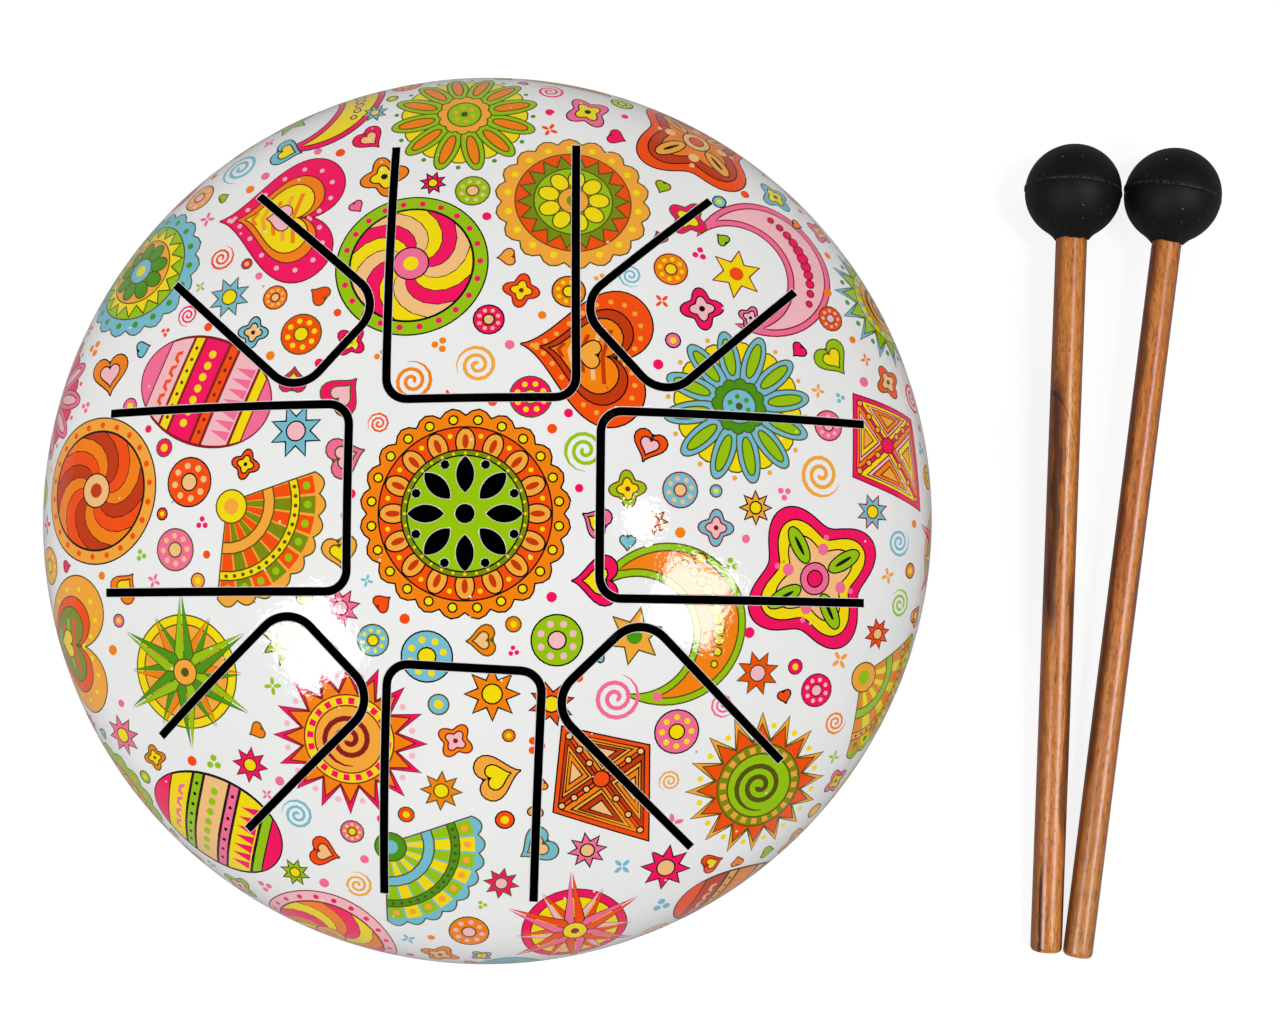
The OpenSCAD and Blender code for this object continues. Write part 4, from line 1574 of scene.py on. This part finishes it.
def wood_material(name, side):
    """Oiled red-brown wood with painted shade down its flanks, and its own grain and dark streaks on each handle.
    """
    mallets = drum_settings("mallets")
    light, dark, heart = mallets.wood_light[:], mallets.wood_dark[:], mallets.wood_heart[:]
    place, tan, deep = GRAINS[side]
    material, nodes, where = start_material(name)
    layers, fibres, pores, flecks, mottle = wood_grain(
        nodes, where, place=place, heart_place=(4 * MM, 26 * MM, 0)
    )
    cloud = clouds(nodes, where, scale=24.0)
    layers = nodes.remap(layers, 0.15, 0.95, 0.0, 0.6)
    colour = nodes.mix(nodes.sum("ADD", layers, deep), light, dark)
    colour = nodes.mix(nodes.remap(fibres, 0.44, 0.72, 0.0, 0.5), colour, dark)
    colour = nodes.mix(nodes.remap(fibres, 0.5, 0.3, 0.0, 0.4), colour, linear("#FCAE52"))
    colour = nodes.mix(nodes.remap(cloud, 0.0, 1.0, 0.0, 0.35), colour, linear("#E48824"))
    x, _, z = nodes.axes(where)
    colour = nodes.mix(nodes.remap(z, -150 * MM, -235 * MM, 0.0, tan), colour, linear("#D09450"))
    # Painted shade: the wood darkens towards both sides of the handle, as a lit round handle does at its edges.
    across = nodes.sum("DIVIDE", nodes.sum("ABSOLUTE", x), mallets.handle_d[side] / 2)
    painted_flank_shade = nodes.sum("ADD", across, nodes.remap(fibres, 0.3, 0.7, -0.12, 0.12))
    colour = nodes.mix(nodes.remap(painted_flank_shade, 0.35, 1.05, 0.0, 0.9), colour, linear("#823A06"))
    for *sizes, strength in STREAKS[side]:
        middle, width, start, end = (size * MM for size in sizes)
        streak = dark_streak(nodes, where, middle=middle, width=width, start=start, end=end)
        colour = nodes.stain(colour, streak, strength, heart)
    if side == 0:
        colour = nodes.mix(growth_line(nodes, where, mallets.handle_d[0] / 2), colour, linear("#1D0C0C"))
    for mask, strength, ink in (
        (mottle, 0.48, linear("#8A3E0C")), (pores, 0.5, heart), (flecks, 0.3, linear("#7A3A12")),
    ):
        colour = nodes.stain(colour, mask, strength, ink)
    gloss = nodes.remap(fibres, 0.3, 0.7, 0.4, 0.52)
    lumps = nodes.sum("SUBTRACT", nodes.times(fibres, 0.5), pores)
    surface = {
        "Base Color": colour, "Roughness": gloss, "Specular IOR Level": 0.1,
        "Coat Weight": 1.0, "Coat Roughness": 0.31, "Coat IOR": 1.75,
    }
    return end_material(material, nodes, surface, lumps, 0.02 * MM)


def cover_node(node, material):
    """Gives a carried-over CAD node its finish."""
    shown = frame["nodes"][node]
    shown.data.materials.clear()
    shown.data.materials.append(material)


# Turned pieces


def lathe_mesh(name, profile, steps, wobble=None, closed=False):
    """Solid of revolution round z. Its profile starts and ends on the axis, unless it closes on itself."""
    vertices, rings = [], []
    for radius, height in profile:
        if radius < TINY:
            rings.append([len(vertices)])
            vertices.append((0, 0, height))
            continue
        rings.append(list(range(len(vertices), len(vertices) + steps)))
        for place in range(steps):
            turn = place * TURN / steps
            reach, lift = wobble(radius, height, turn) if wobble else (radius, height)
            vertices.append((reach * math.cos(turn), reach * math.sin(turn), lift))
    faces = []
    for low, high in zip(rings, rings[1:] + rings[:1] * closed):
        for place in range(steps):
            beside = (place + 1) % steps
            if len(low) == 1:
                faces.append((low[0], high[beside], high[place]))
            elif len(high) == 1:
                faces.append((low[place], low[beside], high[0]))
            else:
                faces.append((low[place], low[beside], high[beside], high[place]))
    return smooth_mesh(name, vertices, faces)


def mallet_place(side):
    """Carries a mallet, its head's middle at the origin and its handle down z, onto the table."""
    mallets = drum_settings("mallets")
    head_r = mallets.head_d / 2
    rest_z = head_r + mallets.ridge_h
    x, y = drum_axis + (mallets.left_place, mallets.right_place)[side]
    tilt = math.asin((rest_z - mallets.handle_d[side] / 2) / (mallets.length[side] - head_r))
    turn = Euler((tilt - QUARTER, 0, -(mallets.left_lean, mallets.right_lean)[side]))
    return Matrix.LocRotScale(Vector((x, y, rest_z)), turn, None)


def handle_profile(side):
    """Handle from the middle of its free end, round the edge and up to the end that sits in the head."""
    mallets = drum_settings("mallets")
    radius, tail_r = mallets.handle_d[side] / 2, mallets.tail_r
    head_r = mallets.head_d / 2
    tail_z = head_r - mallets.length[side]
    top_z = mallets.socket_h - math.sqrt(head_r**2 - (mallets.neck_d / 2) ** 2)
    inset = radius - tail_r
    profile = [(0, tail_z), (inset * 0.5, tail_z), (inset, tail_z)]
    for turn in np.linspace(-QUARTER, 0, 8)[1:]:
        profile.append((inset + tail_r * math.cos(turn), tail_z + tail_r + tail_r * math.sin(turn)))
    for height in np.linspace(tail_z + tail_r, top_z, 70)[1:]:
        profile.append((radius, height))
    return [*profile, (0, top_z)]


def head_profile(side):
    """Head from the end of its socket, down and out round its collar, and up round the ball."""
    mallets = drum_settings("mallets")
    head_r, neck_r = mallets.head_d / 2, mallets.neck_d / 2
    lip_r, collar_w, collar_edge, flare_w, flare = 0.35 * MM, 0.5 * MM, 0.1 * MM, 1.7 * MM, 2.2 * MM
    hole_r = mallets.handle_d[side] / 2 + mallets.glue
    flat_z = -math.sqrt(head_r**2 - neck_r**2)
    top_z = mallets.socket_h + flat_z + mallets.glue
    low_z = flat_z - mallets.collar_h
    profile = [(0, top_z), (hole_r, top_z), (hole_r, low_z + lip_r)]
    for turn in (0.5, 1, QUARTER):
        profile.append((hole_r + lip_r * (1 - math.cos(turn)), low_z + lip_r * (1 - math.sin(turn))))
    start = -math.acos((neck_r + flare_w) / head_r)
    inner, outer = np.array((hole_r + collar_w, low_z + collar_edge)), head_r * direction(start)
    bend = outer + flare * np.array([math.sin(start), -math.cos(start)])
    for share in np.linspace(0, 1, 8)[:-1]:
        profile.append((1 - share) ** 2 * inner + 2 * share * (1 - share) * bend + share**2 * outer)
    ridge = 2 * mallets.ridge_w / head_r
    below, ridged = np.linspace(start, -ridge, 20), np.linspace(-ridge, ridge, 33)
    above = np.linspace(ridge, QUARTER, 26)
    ball = polar(head_r, np.concatenate([below, ridged[1:-1], above[:-1]]))
    return [*profile, *ball.tolist(), (0, head_r)]


def ridge_plane(side):
    """Plane of a head's parting ridge, in the head's own frame, as its tilt along x and y."""
    mallets = drum_settings("mallets")
    return math.tan(mallets.ridge_aside), math.tan((mallets.left_ridge, mallets.right_ridge)[side])


def head_surface(side, radius, height, turn):
    """Raises the uneven parting ridge on its tilted line, and roughens the collar's edge."""
    mallets = drum_settings("mallets")
    collar_r, collar_h = mallets.head_d / 3.8, mallets.head_d * 0.43
    tear_h, notch_h, narrow = 0.18 * MM, 0.1 * MM, 60
    reach, level = math.hypot(radius, height), math.atan2(height, radius)
    if radius < collar_r:
        torn = tear_h * (math.sin(2 * turn + 0.6) + 0.6 * math.sin(5 * turn) + 0.3 * math.sin(11 * turn))
        return radius, height + torn * max(0, min(1, (-height - collar_h) / MM))
    aside, ahead = ridge_plane(side)
    tilt = -math.atan(aside * math.cos(turn) + ahead * math.sin(turn))
    line = level + tilt * max(0, 1 - level**2) ** 2
    flash = abs(math.cos(turn)) ** narrow
    outermost = side == 1 and math.cos(turn) > 0
    flash_h = mallets.ridge_h if outermost else mallets.flash_h
    half = mallets.ridge_w / 2 * (1 + 1.6 * flash)
    across = level * reach / half
    trimmed = 0.5 + 0.25 * math.sin(3 * turn + 0.7) + 0.25 * math.sin(7 * turn)
    crest = flash_h * flash + mallets.ridge_h * (1 - flash) * (0.2 + 0.4 * trimmed)
    crest *= max(0, 1 - across**2) ** 0.5
    reach += crest - notch_h * (1 - flash) * max(0, 1 - ((across + 1.3) / 0.4) ** 2)
    return reach * math.cos(line), reach * math.sin(line)


def build_mallets():
    """Two mallets: a turned handle and a rubber head each."""
    black = drum_settings("mallets").rubber[:]
    for side, word in enumerate(("left", "right")):
        place = mallet_place(side)
        plane = (*ridge_plane(side), 1)
        rubber = shared("Head rubber " + word, partial(rubber_material, tone=black, dusty=1.0, ridge=plane))
        wood = shared("Oiled wood " + word, partial(wood_material, side=side))
        for part, profile, steps, wobble, material, slot in (
            ("handle", handle_profile(side), 64, None, wood, "handle_wood"),
            ("head", head_profile(side), 160, partial(head_surface, side), rubber, "mallet_rubber"),
        ):
            mesh = lathe_mesh(f"mallet_{part}_{word}_turned", profile, steps, wobble)
            mesh.set_sharp_from_angle(angle=math.radians(40))
            add_piece(mesh, "mallet_" + word, [f"mallet_{part}_{word}"], [material], place)


def foot_profile():
    """Rubber foot from the lip of its recess, out and up its side, and back down through the screw hole."""
    feet = drum_settings("feet")
    edge, height, lip, bevel = feet.edge_r, feet.height, 0.4 * MM, 0.15 * MM
    low_r, high_r, recess_r, hole_r = feet.low_d / 2, feet.high_d / 2, feet.recess_d / 2, feet.hole_d / 2
    profile = []
    for turn in (QUARTER, 1, 0.5, 0):
        profile.append((recess_r + lip * (1 - math.sin(turn)), lip * (1 - math.cos(turn))))
    for turn in np.linspace(0, QUARTER, 7):
        profile.append((low_r - edge + edge * math.sin(turn), edge * (1 - math.cos(turn))))
    for share in (0.3, 0.6, 0.93):
        profile.append((low_r + (high_r - low_r) * share, edge + (height - edge) * share))
    profile += [(high_r, height - bevel), (high_r - bevel, height), (hole_r, height)]
    return [*profile, (hole_r, feet.recess_h), (recess_r, feet.recess_h)]


def build_feet():
    """Four rubber feet."""
    rubber = shared("Foot rubber", partial(rubber_material, tone=linear("#1B1B1C"), dusty=2.0))
    for foot in range(1, 5):
        low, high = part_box(f"foot_{foot}")
        mesh = lathe_mesh(f"foot_{foot}_moulded", foot_profile(), 72, closed=True)
        mesh.set_sharp_from_angle(angle=math.radians(35))
        place = Matrix.Translation(((low.x + high.x) / 2, (low.y + high.y) / 2, low.z))
        add_piece(mesh, "drum", [f"foot_{foot}"], [rubber], place)


def build_fasteners():
    """Finish of the washers and screws below the bowl, and of the nuts inside it, which are darkened to painted
    shade.
    """
    zinc = shared("Zinc-plated steel", partial(steel_material, bright="#B9BCC0", dull="#8E9296"))
    # Painted shade: the nuts inside the drum are made nearly black, so that they show as shade through the cuts.
    black = shared("Blackened steel", partial(steel_material, bright="#0E0E0F", dull="#060606"))
    cover_node("foot_washers", zinc)
    cover_node("foot_screws", zinc)
    cover_node("foot_nuts", black)


def weld_ripple(radius, height, turn):
    """Presses the weld bead's outside into small overlapping ripples."""
    shells = drum_settings("shells")
    skin = 0.1 * MM
    if radius < shells.rim_d / 2 - skin:
        return radius, height
    across = height / shells.seam_w * 2
    phase = turn * shells.weld_ripples + 1.1 * across**2
    wander = 0.25 * math.sin(turn * 17) + 0.2 * math.sin(turn * 41 + 1)
    depth = shells.weld_crown * (0.5 + 0.5 * math.sin(phase + wander))
    return radius - depth * (1 - across**2), height


def build_weld():
    """Weld bead round the seam."""
    shells = drum_settings("shells")
    low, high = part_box("seam_weld")
    rim_r, half = shells.rim_d / 2, shells.seam_w / 2
    inner_r = rim_r - shells.sheet
    profile = [(inner_r, -half)]
    for share in np.linspace(-1, 1, 9):
        profile.append((rim_r + shells.weld_crown * (1 - share**2), half * share))
    profile.append((inner_r, half))
    steps = shells.weld_ripples * 5
    mesh = lathe_mesh("seam_weld_bead", profile, steps, weld_ripple, closed=True)
    mesh.set_sharp_from_angle(angle=math.radians(50))
    place = Matrix.Translation((*drum_axis, (low.z + high.z) / 2))
    enamel = shared("White enamel", plain_enamel_material)
    add_piece(mesh, "drum", ["seam_weld"], [enamel], place=place)


def build_dome():
    """Printed dome with its eight tongues, each given the ends of the bend on its root line."""
    bend_len = drum_settings("cuts").bend_len
    tongues = tongue_cuts()
    section = dome_section()
    middle = section.flatten(np.array([drum_settings("cuts").rosette_place]))[0]
    shapes = draw_pattern(section.length, 0, middle)
    sheet = Sheet(section, shapes, [*tongues, *rosette_cuts()], tongues)
    sheet.piece("dome_printed", "drum", -1, ["top_shell"])
    for place, tongue in enumerate(tongues):
        sheet.piece(tongue.node + "_printed", tongue.node, place, [tongue.node], tongue.bend(bend_len))


def build_bowl():
    """Bowl, printed on its sides and plain on its base."""
    section = shell_section(drum_settings("shells").base_d / 2, -1)
    plain_w = 12 * MM
    shapes = draw_pattern(section.length, section.flat_r + plain_w, late=3)
    sheet = Sheet(section, shapes, bowl_cuts(), [])
    sheet.piece("bowl_printed", "drum", -1, ["bottom_shell"])


# Stage


def floor_material(name):
    """Matt white paper that shows white, keeps the shadow of what stands on it, carries a painted shadow under the
    drum and is clear from below.
    """
    material, nodes, where = start_material(name)
    colour = nodes.mix(clouds(nodes, where, scale=9.0), linear("#848484"), linear("#8A8A8A"))
    under = nodes.vector("DISTANCE", where, (*drum_axis, 0))["Value"]
    rim_r = drum_settings("shells").rim_d / 2
    # Painted shadow: the paper's colour turns nearly black under the drum.
    colour = nodes.mix(nodes.remap(under, rim_r * 0.4, rim_r * 0.7), linear("#0C0C0C"), colour)
    paper = nodes.add("BsdfPrincipled", {"Base Color": colour, "Roughness": 0.9, "Specular IOR Level": 0.1})
    path = nodes.add("LightPath").outputs
    seen = path["Is Camera Ray"]
    mirrored = nodes.sum("MAXIMUM", path["Is Glossy Ray"], path["Is Transmission Ray"])
    near = nodes.sum("MAXIMUM", nodes.times(seen, 0.84), nodes.times(mirrored, 0.1))
    near = nodes.times(near, nodes.remap(under, rim_r * 0.7, rim_r * 0.95))
    far = nodes.times(seen, nodes.remap(under, rim_r * 3, rim_r * 9, 0.0, 0.2))
    glow = nodes.add("Emission", {"Color": (1, 1, 1, 1), "Strength": nodes.sum("ADD", near, far)})
    both = nodes.add("AddShader", {0: paper.outputs[0], 1: glow.outputs[0]})
    below = nodes.times(seen, nodes.add("NewGeometry").outputs["Backfacing"])
    clear = nodes.add("BsdfTransparent")
    sheet = nodes.add("MixShader", {0: below, 1: both.outputs[0], 2: clear.outputs[0]})
    nodes.add("OutputMaterial", {"Surface": sheet.outputs[0]})
    return material


def light_room():
    """Soft light from all round, strongest from low down, and white where it is seen."""
    stage = drum_settings("stage")
    world = bpy.data.worlds.new("Light room")
    world.use_nodes = True
    nodes = Nodes(world.node_tree)
    path = nodes.add("LightPath").outputs
    ways = nodes.axes(nodes.add("TexCoord").outputs["Generated"])
    soft = nodes.remap(ways[2], 0.0, 1.0, stage.room_light, stage.ceiling_light)
    for way, lean in zip(ways, stage.light_lean):
        soft = nodes.times(soft, nodes.remap(way, -1.0, 1.0, 1 - lean, 1 + lean))
    mirrored = nodes.remap(path["Is Glossy Ray"], 0.0, 1.0, 1.0, stage.room_mirrored)
    seen = nodes.sum("MAXIMUM", path["Is Camera Ray"], path["Is Transmission Ray"])
    strength = nodes.sum("MAXIMUM", seen, nodes.times(soft, mirrored))
    room = nodes.add("Background", {"Color": (1, 1, 1, 1), "Strength": strength})
    nodes.add("OutputWorld", {"Surface": room.outputs[0]})
    bpy.context.scene.world = world


def set_camera():
    """Camera over the table, a little in front of the drum's middle."""
    stage = drum_settings("stage")
    camera = linked("Camera", bpy.data.cameras.new("Camera"))
    camera.data.lens = stage.lens
    camera.data.sensor_width = 36
    camera.data.clip_start = 10 * MM
    camera.location = stage.camera_place
    camera.rotation_euler = stage.camera_turn
    bpy.context.scene.camera = camera


def set_lamp(name, shape, glint, width, power):
    """Soft lamp whose mirror image falls on the crown at a place seen from the camera."""
    stage = drum_settings("stage")
    section = dome_section()
    places, normals = section.lift(section.flatten(np.array([glint])), 0)
    place = Vector(places[0] + np.array([*drum_axis, 0]))
    normal = Vector(normals[0])
    sight = (Vector(stage.camera_place) - place).normalized()
    ahead = (2 * normal.dot(sight) * normal - sight).normalized()
    lamp = linked(name, bpy.data.lights.new(name, "AREA"))
    lamp.data.shape = shape
    lamp.data.size = width
    lamp.data.energy = power
    lamp.location = place + ahead * stage.lamp_reach
    lamp.rotation_euler = ahead.to_track_quat("Z", "Y").to_euler()


def build_stage():
    """Floor, lamps, even room light and camera."""
    stage = drum_settings("stage")
    half = stage.floor_w / 2
    corners = [(-half, -half, 0), (half, -half, 0), (half, half, 0), (-half, half, 0)]
    mesh = bpy.data.meshes.new("floor")
    mesh.from_pydata(corners, [], [(0, 1, 2, 3)])
    mesh.materials.append(shared("White paper", floor_material))
    floor = linked("floor", mesh)
    light_room()
    set_lamp("Left lamp", "SQUARE", stage.left_glint, stage.lamp_w, stage.left_power)
    set_lamp("Right lamp", "SQUARE", stage.right_glint, stage.lamp_w, stage.right_power)
    set_lamp("Small lamp", "DISK", stage.small_glint, stage.lamp_w / 3, stage.small_power)
    set_camera()
    bpy.context.scene.view_settings.view_transform = "Standard"


# Add-on


class TONGUE_DRUM_OT_dome(bpy.types.Operator):
    """Build the printed dome and its eight tongues"""

    bl_idname = "tongue_drum.dome"
    bl_label = "Dome and Tongues"

    def execute(self, context):
        build_dome()
        return {"FINISHED"}


class TONGUE_DRUM_OT_bowl(bpy.types.Operator):
    """Build the bowl under the dome"""

    bl_idname = "tongue_drum.bowl"
    bl_label = "Bowl"

    def execute(self, context):
        build_bowl()
        return {"FINISHED"}


class TONGUE_DRUM_OT_weld(bpy.types.Operator):
    """Build the weld bead that joins the dome and the bowl"""

    bl_idname = "tongue_drum.weld"
    bl_label = "Weld"

    def execute(self, context):
        build_weld()
        return {"FINISHED"}


class TONGUE_DRUM_OT_feet(bpy.types.Operator):
    """Build the four rubber feet"""

    bl_idname = "tongue_drum.feet"
    bl_label = "Feet"

    def execute(self, context):
        build_feet()
        return {"FINISHED"}


class TONGUE_DRUM_OT_fasteners(bpy.types.Operator):
    """Finish the washers, screws and nuts of the feet"""

    bl_idname = "tongue_drum.fasteners"
    bl_label = "Fasteners"

    def execute(self, context):
        build_fasteners()
        return {"FINISHED"}


class TONGUE_DRUM_OT_mallets(bpy.types.Operator):
    """Build the two mallets"""

    bl_idname = "tongue_drum.mallets"
    bl_label = "Mallets"

    def execute(self, context):
        build_mallets()
        return {"FINISHED"}


class TONGUE_DRUM_OT_stage(bpy.types.Operator):
    """Set up the floor, the lamps and the camera"""

    bl_idname = "tongue_drum.stage"
    bl_label = "Stage"

    def execute(self, context):
        build_stage()
        return {"FINISHED"}


PARTS = {
    "shells": TongueDrumShells,
    "cuts": TongueDrumCuts,
    "print": TongueDrumPrint,
    "feet": TongueDrumFeet,
    "mallets": TongueDrumMallets,
    "stage": TongueDrumStage,
}
OPERATORS = (
    TONGUE_DRUM_OT_dome,
    TONGUE_DRUM_OT_bowl,
    TONGUE_DRUM_OT_weld,
    TONGUE_DRUM_OT_feet,
    TONGUE_DRUM_OT_fasteners,
    TONGUE_DRUM_OT_mallets,
    TONGUE_DRUM_OT_stage,
)


class TONGUE_DRUM_PT_build(bpy.types.Panel):
    """Buttons that build the drum, and its sizes and colours"""

    bl_label = "Tongue Drum"
    bl_space_type = "VIEW_3D"
    bl_region_type = "UI"
    bl_category = "Tongue Drum"

    def draw(self, context):
        layout = self.layout
        for operator in OPERATORS:
            layout.operator(operator.bl_idname)
        for part, group in PARTS.items():
            box = layout.box()
            box.label(text=part.capitalize())
            for setting in group.__annotations__:
                box.prop(drum_settings(part), setting)


def register():
    for group in PARTS.values():
        bpy.utils.register_class(group)
    for operator in OPERATORS:
        bpy.utils.register_class(operator)
    bpy.utils.register_class(TONGUE_DRUM_PT_build)
    for part, group in PARTS.items():
        setattr(bpy.types.Scene, "tongue_drum_" + part, PointerProperty(type=group))


def unregister():
    for part in PARTS:
        delattr(bpy.types.Scene, "tongue_drum_" + part)
    bpy.utils.unregister_class(TONGUE_DRUM_PT_build)
    for operator in reversed(OPERATORS):
        bpy.utils.unregister_class(operator)
    for group in reversed(PARTS.values()):
        bpy.utils.unregister_class(group)


def main():
    """Builds every piece in order."""
    register()
    bpy.ops.tongue_drum.dome()
    bpy.ops.tongue_drum.bowl()
    bpy.ops.tongue_drum.weld()
    bpy.ops.tongue_drum.feet()
    bpy.ops.tongue_drum.fasteners()
    bpy.ops.tongue_drum.mallets()
    bpy.ops.tongue_drum.stage()


if __name__ == "__main__":
    main()
